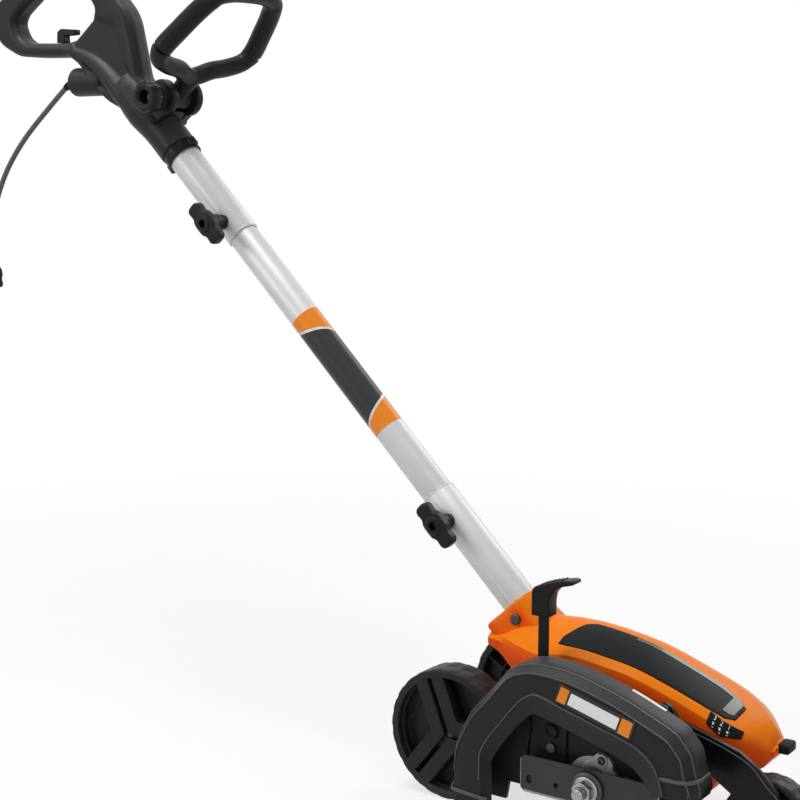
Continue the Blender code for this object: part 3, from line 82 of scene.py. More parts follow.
class Wire:
    # one socket of a shader tree, with arithmetic on it
    def __init__(self, look, socket):
        self.look, self.socket = look, socket

    def sum(self, operation, *others):
        # a Math node of this socket and the others
        values = {str(index): value for index, value in enumerate((self, *others))}
        return self.look.node("Math", {"operation": operation}, values)

    def __add__(self, other): return self.sum("ADD", other)
    def __radd__(self, other): return self.sum("ADD", other)
    def __sub__(self, other): return self.sum("SUBTRACT", other)
    def __mul__(self, other): return self.sum("MULTIPLY", other)
    def __rmul__(self, other): return self.sum("MULTIPLY", other)
    def __abs__(self): return self.sum("ABSOLUTE")
    def __rsub__(self, other): return (self * -1.0) + other

    def fade(self, low, high):
        # 0 below low, 1 above high, smooth between
        return self.look.node("MapRange", {"interpolation_type": "SMOOTHSTEP"},
                              {"Value": self, "From Min": low, "From Max": high})


class Look:
    # a material and its shader tree
    def __init__(self, name, world=None):
        self.data = world or bpy.data.materials.new(name)
        self.data.use_nodes = True
        self.tree = self.data.node_tree
        self.tree.nodes.clear()

    def node(self, kind, settings=None, sockets=None, out=0):
        # a node: its settings first, then a value or a link for each of its sockets
        made = self.tree.nodes.new("ShaderNode" + kind)
        for key, value in (settings or {}).items():
            setattr(made, key, value)
        for key, value in (sockets or {}).items():
            if key.isdigit():
                socket = made.inputs[int(key)]
            else:
                socket = next(s for s in made.inputs if key in (s.identifier, s.name))
            if isinstance(value, Wire):
                self.tree.links.new(value.socket, socket)
            else:
                socket.default_value = (*value, 1.0) if socket.type == "RGBA" else value
        return Wire(self, made.outputs[out]) if len(made.outputs) else None

    def place(self):
        # the point on the object, in metres of the frame
        return self.node("TexCoord", out=3)

    def axes(self, vector=None):
        # the x, y and z of a vector, or of the point on the object
        split = self.node("SeparateXYZ", sockets={"Vector": vector or self.place()})
        return [Wire(self, socket) for socket in split.socket.node.outputs]

    def upward(self):
        # 1 on faces that look up, 0 on walls, -1 on undersides
        return self.axes(self.node("NewGeometry", out=1))[2]

    def noise(self, scale, detail=3.0, vector=None, rough=0.55):
        # soft random noise from 0 to 1, with a scale in spots to the metre
        return self.node("TexNoise", sockets={"Vector": vector or self.place(), "Scale": scale,
                                              "Detail": detail, "Roughness": rough})

    def blend(self, factor, first, second):
        # a colour between two, by a factor from 0 to 1
        return self.node("Mix", {"data_type": "RGBA"},
                         {"Factor_Float": factor, "A_Color": first, "B_Color": second}, out=2)

    def stretched(self, scale, turn=(0.0, 0.0, 0.0)):
        # the point on the object, turned and scaled, for drawn lines
        return self.node("Mapping", sockets={"Vector": self.place(), "Rotation": turn, "Scale": scale})

    def shade(self, base, gloss, height, depth, strength=0.6, **others):
        # the finished material: its colour, its roughness, and a bump of some depth in metres
        names = {"metallic": "Metallic", "coat": "Coat Weight", "specular": "Specular IOR Level"}
        normal = self.node("Bump", sockets={"Height": height, "Distance": depth, "Strength": strength})
        sockets = {"Base Color": base, "Roughness": gloss, "Normal": normal}
        sockets.update({names[key]: value for key, value in others.items()})
        self.node("OutputMaterial", sockets={"Surface": self.node("BsdfPrincipled", sockets=sockets)})
        return self.data


def backdropRays(look):
    # 1 for the rays of the camera, of reflections and through clear materials, else 0
    path = look.node("LightPath").socket.node
    camera, glossy, clear = (Wire(look, path.outputs[name]) for name in (
        "Is Camera Ray", "Is Glossy Ray", "Is Transmission Ray"))
    return (camera + glossy + clear).sum("MINIMUM", 1.0)


def makeWorld():
    # white where it is seen, and a dim even light on the object
    world = bpy.data.worlds.new("studio")
    bpy.context.scene.world = world
    look = Look("studio", world)
    strength = backdropRays(look) * (1.0 - view["skyLight"]) + view["skyLight"]
    back = look.node("Background", sockets={"Color": (1.0, 1.0, 1.0), "Strength": strength})
    look.node("OutputWorld", sockets={"Surface": back})


def makeFloor():
    # a pale floor that keeps the object's shadow and goes over into white further out
    reach = view["floorReach"]
    mesh = bpy.data.meshes.new("studio_floor")
    corners = [(-reach, -reach, 0), (reach, -reach, 0), (reach, reach, 0), (-reach, reach, 0)]
    mesh.from_pydata(corners, [], [(0, 1, 2, 3)])
    floor = linked("studio_floor", mesh)
    look = Look("pale_floor")
    away = look.node("VectorMath", {"operation": "LENGTH"}, {"0": look.place()}, out=1)
    least = view["leastWhite"]  # the shadow fades out before the horizon
    share = away.fade(view["whiteFrom"], view["whiteTo"]) * (1.0 - least) + least
    grain = look.noise(9.0) * 0.02 + view["floorTone"]
    matt = look.node("BsdfDiffuse", sockets={
        "Color": look.node("CombineColor", sockets={"Red": grain, "Green": grain, "Blue": grain})})
    glow = look.node("Emission", sockets={"Color": (1.0, 1.0, 1.0), "Strength": 1.0})
    mixed = look.node("MixShader", sockets={"0": backdropRays(look) * share, "1": matt, "2": glow})
    look.node("OutputMaterial", sockets={"Surface": mixed})
    mesh.materials.append(look.data)


def makeLamp(name, place, aim, size, power):
    # a round soft light aimed at a point
    data = bpy.data.lights.new(name, "AREA")
    data.shape, data.size, data.energy = "DISK", size, power
    lamp = linked(name, data)
    lamp.location = place
    lamp.rotation_euler = (Vector(aim) - Vector(place)).to_track_quat("-Z", "Y").to_euler()


makeWorld()
makeFloor()
for lampName, lamp in view["lamps"].items():
    makeLamp(lampName, *lamp)

print("stage 2: finishes")


def mouldedLook(name, colour, roughness, grain=0.00006, spread=0.06, coat=0.0, grainScale=2600.0,
                specular=0.26):
    # moulded plastic: spark-eroded grain, a faint cloudiness of colour and gloss
    look = Look(name)
    cloud, fine = look.noise(26.0, 4.0), look.noise(grainScale, 2.0)
    dark = tuple(value * (1 - spread) for value in colour)
    light = tuple(min(value * (1 + spread), 1.0) for value in colour)
    gloss = cloud * 0.12 + fine * 0.08 + (roughness - 0.1)
    return look.shade(look.blend(cloud, dark, light), gloss, fine, grain, coat=coat, specular=specular)


def guardLook():
    # charcoal moulding with painted light: upward faces painted lighter than its flat sides as light from
    # above falls on them, and painted shade deep in the window
    look = Look("guard_moulding")
    upward = look.upward()
    cloud, fine = look.noise(24.0, 4.0), look.noise(2400.0, 2.0)
    side = look.blend(cloud, (0.019, 0.0185, 0.0185), (0.024, 0.0235, 0.0235))
    # painted highlight: faces that look up are painted lighter
    base = look.blend(upward.fade(0.25, 0.95) * 0.8, side, (0.046, 0.045, 0.045))
    # painted shade: the window's back wall, behind the outer face, is painted near black where it does not
    # look up
    deep = look.axes()[1].fade(-0.119, -0.106)
    base = look.blend(deep * (1.0 - upward.fade(-0.2, 0.2)), base, (0.006, 0.006, 0.006))
    gloss = cloud * 0.12 + fine * 0.08 + 0.32
    return look.shade(base, gloss, fine, 0.00005, specular=0.12)


def orangeLook():
    # glossy orange mouldings: walls and undersides painted a deeper red as painted shade, faint flow marks
    look = Look("orange_moulding")
    # painted shade: the less a face looks up, the more it turns to a deeper red
    wall = 1.0 - look.upward().fade(0.1, 0.6)
    cloud, fine = look.noise(11.0, 3.0), look.noise(1900.0, 2.0)
    top = look.blend(cloud, (0.86, 0.195, 0.006), (0.91, 0.235, 0.009))
    base = look.blend(wall * 0.85, top, (0.9, 0.075, 0.005))
    gloss = cloud * 0.08 + fine * 0.05 + 0.26
    return look.shade(base, gloss, fine, 0.00003, 0.5, specular=0.05)


def tubeLook():
    # satin anodised tube: draw lines along its length, soft cloudiness
    look = Look("satin_tube")
    turned = look.stretched((2300.0, 1700.0, 22.0), (0.0, math.radians(45.0), 0.0))
    lines = look.noise(1.0, 2.0, turned)
    cloud = look.noise(14.0, 3.0)
    base = look.blend(cloud, (0.56, 0.565, 0.57), (0.62, 0.625, 0.63))
    gloss = lines * 0.02 + cloud * 0.04 + 0.43
    return look.shade(base, gloss, lines, 0.000001, 0.2, metallic=0.3)


def steelLook(name, colour, roughness, metallic=1.0):
    # machined metal: crossing hairlines and a few dull stains
    look = Look(name)
    first = look.noise(1.0, 2.0, look.stretched((900.0, 900.0, 60.0), (0.4, 0.9, 0.2)))
    second = look.noise(1.0, 2.0, look.stretched((60.0, 1100.0, 900.0), (0.2, 0.3, 1.1)))
    stain = look.noise(70.0, 4.0)
    base = look.blend(stain.fade(0.35, 0.75), tuple(v * 0.82 for v in colour), colour)
    gloss = first * 0.14 + second * 0.1 + stain * 0.1 + (roughness - 0.15)
    return look.shade(base, gloss, first + second, 0.00004, 0.5, metallic=metallic)


def bladeLook():
    # black-painted steel, rubbed to bare metal at its tips and along its lower edge
    look = Look("painted_blade")
    x, _, z = look.axes()
    fromMiddle = abs(x - (spindle[0] + origin[0]) * 0.001)
    rub = look.noise(160.0, 6.0, rough=0.7)
    hair = look.noise(1.0, 3.0, look.stretched((1200.0, 60.0, 90.0)))
    tips = (fromMiddle - 0.0835).fade(0.0, 0.003)
    low = 1.0 - (z - 0.049).fade(0.0, 0.004)
    bare = (tips * 0.8 + low * 0.8 + rub * 0.5 - 0.55).fade(0.0, 0.4)
    paint = look.blend(rub, (0.03, 0.03, 0.032), (0.042, 0.042, 0.044))
    base = look.blend(bare, paint, (0.3, 0.3, 0.31))
    return look.shade(base, hair * 0.16 + 0.38, hair + rub, 0.00003, 0.5, metallic=bare * 0.6 + 0.1,
                      specular=0.3)


def castLook():
    # die-cast alloy: a sandy skin with darker patches
    look = Look("cast_skin")
    sand = look.noise(900.0, 4.0)
    base = look.blend(look.noise(45.0), (0.22, 0.22, 0.225), (0.38, 0.38, 0.385))
    return look.shade(base, sand * 0.2 + 0.42, sand, 0.00012, 0.8, metallic=0.7)


def copperLook():
    # enamelled wire wound in bundles
    look = Look("wound_copper")
    turns = (look.axes()[1] * 5200.0).sum("SINE") * 0.5 + 0.5
    stain = look.noise(120.0, 3.0)
    base = look.blend(turns * 0.7 + stain * 0.3, (0.28, 0.07, 0.02), (0.74, 0.30, 0.12))
    return look.shade(base, stain * 0.2 + 0.25, turns, 0.0002, 0.8, metallic=0.85)


def treadLook():
    # hard wheel moulding, scuffed grey on the tread
    look = Look("wheel_moulding")
    cloud, scuff = look.noise(30.0, 4.0), look.noise(240.0, 6.0, rough=0.75)
    low = 1.0 - look.axes()[2].fade(0.0, 0.03)
    worn = (scuff + low * 0.25 - 0.52).fade(0.0, 0.16)
    clean = look.blend(cloud, (0.014, 0.0138, 0.014), (0.021, 0.0205, 0.0205))
    base = look.blend(worn * 0.22, clean, (0.11, 0.108, 0.106))
    fine = look.noise(2200.0, 2.0)
    return look.shade(base, cloud * 0.1 + worn * 0.2 + 0.36, fine + scuff, 0.00005, specular=0.14)


def cordLook():
    # flexible sheath: dull, with faint print of the twisted cores below
    look = Look("cord_sheath")
    x, _, z = look.axes()
    twist = ((z + x * 0.6) * 520.0).sum("SINE") * 0.5 + 0.5
    fine = look.noise(3200.0, 2.0)
    base = look.blend(look.noise(60.0), (0.055, 0.055, 0.06), (0.085, 0.085, 0.09))
    return look.shade(base, fine * 0.12 + 0.5, twist + fine * 0.3, 0.00006)


def handleLook():
    # charcoal handle moulding: seam along the middle plane, upward faces painted lighter as a painted
    # highlight of light from above
    look = Look("handle_moulding")
    fromSeam = abs(look.axes()[1] - origin[1] * 0.001)
    seam = 1.0 - fromSeam.fade(0.00022, 0.00045)
    cloud, fine = look.noise(22.0, 4.0), look.noise(2400.0, 2.0)
    upward = look.upward()
    base = look.blend(cloud, (0.013, 0.0118, 0.012), (0.019, 0.0172, 0.0174))
    # painted highlight: faces that look up are painted lighter
    base = look.blend(upward.fade(0.05, 0.8) * 0.8, base, (0.075, 0.069, 0.067))
    base = look.blend(seam * 0.8, base, (0.006, 0.006, 0.006))
    gloss = cloud * 0.14 + fine * 0.1 + 0.3
    return look.shade(base, gloss, fine * 0.2 - seam * 2.0, 0.00012, specular=0.16)


looks = {  # each finish, and a slot of the frame listed with it
    "orange": (orangeLook(), "orange_shell"),
    "charcoal": (mouldedLook("charcoal_moulding", (0.014, 0.0135, 0.0135), 0.38, specular=0.12),
                 "charcoal_plastic"),
    "guard": (guardLook(), "charcoal_plastic"),
    "handle": (handleLook(), "charcoal_plastic"),
    # painted highlight: a lighter grey for beads and strips laid where edges catch the light
    "edge": (mouldedLook("painted_highlight_edge", (0.085, 0.083, 0.082), 0.38, specular=0.3), "charcoal_plastic"),
    "black": (mouldedLook("black_moulding", (0.01, 0.01, 0.0105), 0.36, specular=0.12), "black_plastic"),
    "panel": (mouldedLook("matt_panel", (0.0055, 0.0065, 0.007), 0.42, grain=0.00003, specular=0.08),
              "black_plastic"),
    "piano": (mouldedLook("glossy_black", (0.006, 0.006, 0.0065), 0.28, grain=0.00001, specular=0.16),
              "black_plastic"),
    "gloss": (mouldedLook("gloss_strip", (0.075, 0.079, 0.083), 0.24, grain=0.00001, coat=0.2),
              "black_plastic"),
    "labelDark": (mouldedLook("label_dark", (0.028, 0.028, 0.03), 0.34, grain=0.00001), "black_plastic"),
    "labelOrange": (mouldedLook("label_orange", (0.84, 0.24, 0.012), 0.32, grain=0.00001, spread=0.04),
                    "orange_shell"),
    "rubber": (mouldedLook("soft_rubber", (0.012, 0.012, 0.0125), 0.62, grain=0.0001, grainScale=1500.0,
                           specular=0.12), "soft_black"),
    "white": (mouldedLook("white_print", (0.82, 0.82, 0.82), 0.42, grain=0.00001, spread=0.03),
              "plain_white"),
    "wheel": (treadLook(), "tyre_black"),
    "tube": (tubeLook(), "tube_silver"),
    "steel": (steelLook("bright_steel", (0.4, 0.4, 0.41), 0.3), "bright_steel"),
    "brass": (steelLook("brass_blade", (0.72, 0.52, 0.22), 0.28), "bright_steel"),
    "darkSteel": (steelLook("black_oxide_steel", (0.075, 0.075, 0.08), 0.42, 0.7), "dark_steel"),
    "blade": (bladeLook(), "dark_steel"),
    "cast": (castLook(), "cast_alloy"),
    "copper": (copperLook(), "cast_alloy"),
    "cord": (cordLook(), "cord_grey"),
}

print("stage 3: shape helpers")


def smoothLine(points, steps, closed=False):
    # Catmull-Rom spline through the points, with that many steps from one to the next
    points = np.asarray(points, float)
    if closed:
        padded = np.concatenate([points[-1:], points, points[:2]])
    else:
        padded = np.concatenate([2 * points[:1] - points[1:2], points, 2 * points[-1:] - points[-2:-1]])
    before, start, end, after = (padded[k:len(padded) - 3 + k, None] for k in range(4))
    t = (np.arange(steps) / steps)[None, :, None]
    line = 0.5 * (2 * start + (end - before) * t + (2 * before - 5 * start + 4 * end - after) * t ** 2
                  + (3 * start - before - 3 * end + after) * t ** 3)
    line = line.reshape(-1, points.shape[1])
    return line if closed else np.concatenate([line, points[-1:]])


def unit(vectors):
    # vectors scaled to length one
    return vectors / np.maximum(np.linalg.norm(vectors, axis=-1, keepdims=True), 1e-9)


def roundedCorners(points, radius, steps=5):
    # every corner of a closed outline becomes a quadratic arc that starts one radius before it
    points = np.asarray(points, float)
    ends = []
    for step in (1, -1):
        away = np.roll(points, step, 0) - points
        length = np.linalg.norm(away, axis=1, keepdims=True)
        ends.append(points + away / length * np.minimum(radius, length * 0.45))
    t = np.linspace(0, 1, steps)[None, :, None]
    first, last = ends
    arcs = first[:, None] * (1 - t) ** 2 + 2 * points[:, None] * t * (1 - t) + last[:, None] * t ** 2
    return arcs.reshape(-1, points.shape[1])


def insetLine(points, distance):
    # a closed outline moved inwards, each point along the mean of its two edge normals
    points = np.asarray(points, float)
    ahead = np.roll(points, -1, 0)
    area = np.sum(points[:, 0] * ahead[:, 1] - ahead[:, 0] * points[:, 1])
    edge = unit(ahead - points)
    normal = np.stack([-edge[:, 1], edge[:, 0]], 1) * (1 if area > 0 else -1)
    mean = unit(normal + np.roll(normal, 1, 0))
    spread = np.maximum(np.sum(mean * normal, 1, keepdims=True), 0.5)
    return points + mean * distance / spread


def boxLine(wide, tall, radius, steps=3):
    # a rectangle of two half sizes with rounded corners
    return roundedCorners([(-wide, -tall), (wide, -tall), (wide, tall), (-wide, tall)], radius, steps)


def circleLine(radius, count):
    # points at even angles round a circle
    angle = np.linspace(0, 2 * np.pi, count, endpoint=False)
    return np.stack([np.cos(angle) * radius, np.sin(angle) * radius], 1)


def capsuleLine(first, last, radius, count=8):
    # the outline of a slot: a half circle round each of two points, joined by straight sides
    heading = math.atan2(last[1] - first[1], last[0] - first[0])
    halves = []
    for centre, start in ((last, heading - np.pi / 2), (first, heading + np.pi / 2)):
        turn = start + np.linspace(0, np.pi, count)
        halves.append(np.array(centre) + radius * np.stack([np.cos(turn), np.sin(turn)], 1))
    return np.concatenate(halves)


def mirrored(half):
    # a half outline from top to bottom, with its mirror image after it
    half = np.asarray(half, float)
    return np.concatenate([half, half[-2:0:-1] * (-1, 1)])


def sideLine(line, y):
    # an outline of the side view at one depth
    return np.insert(np.asarray(line, float), 1, y, 1)


def gridShape(grid, wrapRows=False):
    # quads over a grid of points whose columns close on themselves; open rows get flat caps
    rows, columns = grid.shape[:2]
    index = np.arange(rows * columns).reshape(rows, columns)
    down = np.roll(index, -1, 0) if wrapRows else index[1:]
    top = index if wrapRows else index[:-1]
    faces = np.stack([top, np.roll(top, -1, 1), np.roll(down, -1, 1), down], -1).reshape(-1, 4).tolist()
    if not wrapRows:
        faces += [index[0][::-1].tolist(), index[-1].tolist()]
    return grid.reshape(-1, 3), faces


def joined(*shapes):
    # several shapes as one list of points and faces
    points, faces, count = [], [], 0
    for spots, quads in shapes:
        points.append(spots)
        faces += [[index + count for index in face] for face in quads]
        count += len(spots)
    return np.concatenate(points), faces


def turnedShape(profile, centre, axis, steps=48, wave=None, closed=False):
    # a profile of radius and height carried round an axis; wave gives the radius a share by angle
    profile = np.asarray(profile, float)
    axis = unit(np.asarray(axis, float))
    side = unit(np.cross(axis, (0.31, 0.95, 0.07)))
    other = np.cross(axis, side)
    angle = np.linspace(0, 2 * np.pi, steps, endpoint=False)
    radius = profile[:, :1] * np.ones((1, steps))
    if wave is not None:
        radius = radius + wave(profile, angle)
    ring = radius[..., None] * (np.cos(angle)[None, :, None] * side + np.sin(angle)[None, :, None] * other)
    return gridShape(np.asarray(centre, float) + ring + profile[:, 1:2, None] * axis, closed)


def rodShape(radius, low, high, centre, axis, steps=24):
    # a plain rod between two heights along an axis
    return turnedShape([(0, low), (radius, low), (radius, high), (0, high)], centre, axis, steps)


def sweptShape(path, section, up, closed=False):
    # a section of side and rise offsets carried along a path, kept upright against one direction
    path = np.asarray(path, float)
    section = np.asarray(section, float)
    if section.ndim == 2:
        section = np.broadcast_to(section, (len(path), *section.shape))
    if closed:
        along = np.roll(path, -1, 0) - np.roll(path, 1, 0)
    else:
        along = np.gradient(path, axis=0)
    along = unit(along)
    side = unit(np.cross(along, np.asarray(up, float)))
    rise = np.cross(side, along)
    grid = path[:, None] + section[..., :1] * side[:, None] + section[..., 1:] * rise[:, None]
    return gridShape(grid, closed)


def tubeShape(path, radius, count, up=(0, 1, 0), closed=False):
    # a round or oval section carried along a path, with its radii given at each point
    section = circleLine(1.0, count)[None] * np.asarray(radius, float).reshape(len(path), 1, -1)
    return sweptShape(path, section, up, closed)


def beadShape(path, wide, tall, radius, up=(0, 1, 0)):
    # a flat rounded bead along a path
    return sweptShape(path, boxLine(wide, tall, radius)[:, ::-1], up)


def barShape(start, end, wide, tall, up=(0, 1, 0), rounding=0.5):
    # a straight bar with rounded long edges
    path = [start, (np.array(start) + np.array(end)) / 2, end]
    return sweptShape(path, boxLine(wide / 2, tall / 2, rounding), up)


def plateShape(outline, yFrom, yTo, rounding=0.0, steps=4):
    # an outline of the side view carried along y, its two rims rounded by quarter circles
    outline = np.asarray(outline, float)
    rings = [(0.0, yFrom), (0.0, yTo)]
    if rounding:
        turn = np.linspace(0, np.pi / 2, steps + 1)
        curve = [(rounding * (1 - math.sin(a)), rounding * (1 - math.cos(a))) for a in turn]
        rings = [(inset, yFrom + step) for inset, step in curve]
        rings += [(inset, yTo - step) for inset, step in curve[::-1]]
    return gridShape(np.array([sideLine(insetLine(outline, inset) if inset else outline, y)
                               for inset, y in rings]))


def meshOf(shape, sharp=30.0):
    # points and faces as a clean mesh in the frame: doubles merged, faces outwards, creases kept
    points, faces = shape
    within = 0.00002  # metres between points that become one
    mesh = bpy.data.meshes.new("worked")
    mesh.from_pydata(toFrame(points).tolist(), [], faces)
    builder = bmesh.new()
    builder.from_mesh(mesh)
    bmesh.ops.remove_doubles(builder, verts=builder.verts, dist=within)
    bmesh.ops.dissolve_degenerate(builder, edges=builder.edges, dist=within)
    bmesh.ops.recalc_face_normals(builder, faces=builder.faces)
    builder.to_mesh(mesh)
    builder.free()
    creased(mesh, sharp)
    return mesh


def meshPoints(mesh):
    # a mesh's points as an array
    spots = np.zeros(len(mesh.vertices) * 3)
    mesh.vertices.foreach_get("co", spots)
    return spots.reshape(-1, 3)


def asMesh(form, sharp=30.0):
    # a mesh as it is, or points and faces made into one
    return meshOf(form, sharp) if isinstance(form, tuple) else form


def creased(mesh, sharp):
    # smooth shading with creases, and flat faces of many corners kept flat
    mesh.shade_smooth()
    mesh.set_sharp_from_angle(angle=math.radians(sharp))
    sides = np.zeros(len(mesh.polygons), int)
    mesh.polygons.foreach_get("loop_total", sides)
    for index in np.flatnonzero(sides > 10):
        face = mesh.polygons[int(index)]
        for corner in face.loop_indices:
            mesh.edges[mesh.loops[corner].edge_index].use_edge_sharp = True


def together(sharp, *meshes):
    # separate meshes as one
    builder = bmesh.new()
    for mesh in meshes:
        builder.from_mesh(mesh)
    whole = bpy.data.meshes.new("whole")
    builder.to_mesh(whole)
    builder.free()
    creased(whole, sharp)
    return whole


def placed(name, form, body, look, replaced=(), sharp=30.0):
    # a mesh, or points and faces, becomes a piece that rides on its body
    mesh = asMesh(form, sharp)
    mesh.name = name
    piece = linked(name, mesh)
    finish, usualSlot = looks[look]
    mesh.materials.clear()
    mesh.materials.append(finish)
    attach(piece, body)
    if replaced:
        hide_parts(*replaced)
    return piece


def worked(form, *steps, sharp=30.0):
    # modifiers run one after another on a mesh, or on points and faces, with the result kept
    holder = linked("bench", asMesh(form))
    helpers = []
    for kind, settings in steps:
        modifier = holder.modifiers.new(kind, kind)
        for key, value in settings.items():
            if key == "object":
                value = linked("bench_tool", value)
                helpers.append(value)
            setattr(modifier, key, value)
    bpy.context.view_layer.update()
    evaluated = holder.evaluated_get(bpy.context.evaluated_depsgraph_get())
    result = bpy.data.meshes.new_from_object(evaluated)
    for helper in [holder, *helpers]:
        bpy.data.objects.remove(helper)
    creased(result, sharp)
    return result


def without(cutter):
    # a step for worked: what lies inside the cutter is taken away
    return ("BOOLEAN", {"operation": "DIFFERENCE", "solver": "EXACT", "object": asMesh(cutter)})


def withAlso(other):
    # a step for worked: another solid is joined on
    return ("BOOLEAN", {"operation": "UNION", "solver": "EXACT", "object": asMesh(other)})


def bevelled(width, segments=2, angle=30.0):
    # a step for worked: edges sharper than an angle are rounded to a width in millimetres
    return ("BEVEL", {"width": width * 0.001, "segments": segments, "limit_method": "ANGLE",
                      "angle_limit": math.radians(angle), "use_clamp_overlap": True,
                      "harden_normals": False, "miter_outer": "MITER_ARC"})


def blendedMesh(shape, voxel, rounds, share):
    # overlapping solids melted into one moulding with soft fillets, thinned to a share of its faces
    melted = ("REMESH", {"mode": "VOXEL", "voxel_size": voxel * 0.001, "use_smooth_shade": True})
    smoothed = ("SMOOTH", {"factor": 0.5, "iterations": rounds})
    return worked(shape, melted, smoothed, ("DECIMATE", {"ratio": share}), sharp=60.0)


def cadMesh(node):
    # a merged copy of a CAD node's mesh, with flat areas cleared of inner edges
    mesh = nodes[node].data.copy()
    builder = bmesh.new()
    builder.from_mesh(mesh)
    bmesh.ops.remove_doubles(builder, verts=builder.verts, dist=0.00001)
    bmesh.ops.dissolve_limit(builder, angle_limit=math.radians(0.6), verts=builder.verts,
                             edges=builder.edges)
    builder.to_mesh(mesh)
    builder.free()
    return mesh


def softened(node, body, look, width, name, segments=2):
    # the CAD shape with its sharp edges rounded as a moulding's or a forging's are
    return placed(name, worked(cadMesh(node), bevelled(width, segments)), body, look, (node,))


tube = {"axis": np.array([-1.0, 0.0, 1.0]) / math.sqrt(2), "start": 127.25}


def onTube(station, side=0.0, rise=0.0):
    # a point beside the tube's axis, which climbs backwards at 45 degrees
    step, lift = np.asarray(station) / math.sqrt(2), np.asarray(rise) / math.sqrt(2)
    spots = np.broadcast_arrays(tube["start"] - step + lift, side, tube["start"] + step + lift)
    return np.stack(spots, -1).astype(float)


print("stage 4: cord")
lead = {
    "diameter": 7.5, "gap": 0.3, "exitWay": (-0.8, 0, -0.6),
    "route": [(-720.3, 0, 849.8), (-728, 0, 844), (-743, -1, 831.5), (-760, -3, 816), (-778, -7, 798),
              (-795, -13, 777), (-810, -20, 753), (-822, -27, 727), (-831, -33, 699), (-837, -38, 670),
              (-840, -41, 640), (-841, -42, 612)],
    "relief": [(-698.4, 0, 857), (-704, 0, 856.2), (-711, 0, 853.9), (-720, 0, 850.1)],
    "reliefRadii": (7.2, 4.8), "flangeRadius": 9.0, "ribs": 6.0, "ribRise": 0.55,
    "plug": [  # half width, half depth and drop of the plug's sections
        (5.6, 5.6, 0), (6.2, 6.2, 1.5), (6.4, 6.4, 13), (7.4, 7, 15), (11.8, 9, 19), (13.2, 10.2, 22),
        (14, 11, 30), (13.2, 9.6, 34), (13.4, 9.8, 38), (14, 11, 41), (13.7, 10.6, 45), (12.4, 9.6, 47)],
    "pinSpread": 6.3, "pinThick": 1.5, "pinWide": 6.3, "pinFrom": 44, "pinTo": 63}


def makeLead():
    # the sheathed lead on its CAD route, its ribbed strain relief, and the plug
    route = np.array(lead["route"], float)
    route[0] += np.array(lead["exitWay"]) * lead["gap"]
    path = smoothLine(route, 4)
    curve = bpy.data.curves.new("power_lead", "CURVE")
    curve.dimensions = "3D"
    curve.bevel_depth = lead["diameter"] / 2000
    curve.bevel_resolution = 6
    curve.use_fill_caps = True
    spline = curve.splines.new("POLY")
    spline.points.add(len(path) - 1)
    spline.points.foreach_set("co", np.insert(toFrame(path), 3, 1.0, 1).ravel())
    cable = linked("power_lead", curve)
    curve.materials.append(looks["cord"][0])
    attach(cable, "upper_tube")
    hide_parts("power_cord")

    bend = smoothLine(lead["relief"], 9)
    share = np.linspace(0, 1, len(bend))
    wide, narrow = lead["reliefRadii"]
    ribbed = np.sin(share * 2 * np.pi * lead["ribs"]) > 0.1
    radius = wide + (narrow - wide) * share + lead["ribRise"] * ribbed
    radius[:3] = lead["flangeRadius"]
    placed("strain_relief_ribbed", tubeShape(bend, radius, 24), "upper_tube", "rubber", ("strain_relief",),
           40)

    x, y, z = lead["route"][-1]
    top = z - lead["gap"]
    corners = boxLine(1, 1, 0.55, 5)
    rings = np.array([np.insert(corners * (half, deep) + (x, y), 2, top - drop, 1)
                      for half, deep, drop in lead["plug"]])
    body = worked(meshOf(gridShape(rings), 35), bevelled(0.5))
    plug = placed("plug_body", body, "upper_tube", "rubber", ("power_plug",))
    low, high, spread = top - lead["pinTo"], top - lead["pinFrom"], lead["pinSpread"]
    tongues = [barShape((x + side, y, high), (x + side, y, low), lead["pinThick"], lead["pinWide"])
               for side in (-spread, spread)]
    pins = placed("plug_pins", joined(*tongues), "upper_tube", "brass")


makeLead()

print("stage 5: cover, panels and shell")
cover = {
    "stations": [  # x, half width, top, shoulder, lower edge, fall and half width of the left side
        (10, 39, 199, 188, 176, 2, 39), (34, 47, 210, 193, 168, 5, 47), (62, 60, 213, 193, 150, 12, 60),
        (92, 72, 214, 192, 118, 18, 72), (112, 76, 215, 196, 108, 20, 76),
        (144, 76, 214, 199, 108, 20, 76), (182, 76, 209, 195, 108, 20, 76),
        (219, 76, 201, 189, 108, 20, 76), (262, 76, 186, 176, 108, 20, 76),
        (305, 75, 168, 160, 108, 17, 74), (328, 73, 156, 149, 106, 13, 62),
        (346, 62, 145, 139, 100, 9, 44), (357, 46, 137, 131, 94, 5, 30), (365, 35, 128, 122, 97, 3, 21),
        (369, 25, 120, 116, 104, 1, 15)],
    "wall": 3.0, "panelProud": 0.6, "panelDepth": 1.0, "gapRound": 0.8, "stripProud": 0.45,
    "panel": [  # x, and the panel's outer and inner side
        (118, 58, 46), (130, 60.5, 14), (141, 61, 6), (182, 61, 5), (219, 61, 5), (262, 61, 6),
        (305, 60, 6), (326, 56, 10), (334, 46, 18)],
    "socket": [  # station up the tube, half widths in front and behind, front and back
        (56.0, 33.5, 46, 34, -33), (70.0, 33.5, 46.5, 33.6, -34.5), (84.0, 33, 44, 32, -37),
        (98.0, 32, 42.6, 30, -38), (112.0, 31, 41, 28, -39), (124.0, 30, 39.4, 26.8, -39.6),
        (132.4, 29.2, 38.2, 26.2, -39.8), (134.5, 28.2, 37.2, 25.2, -38.8)],
    "bore": 22.3, "pin": (44, 210), "pinRadius": 7.4, "pinDepth": (30.2, 60),
    "vents": range(128, 236, 13), "ventRadius": 2.3}


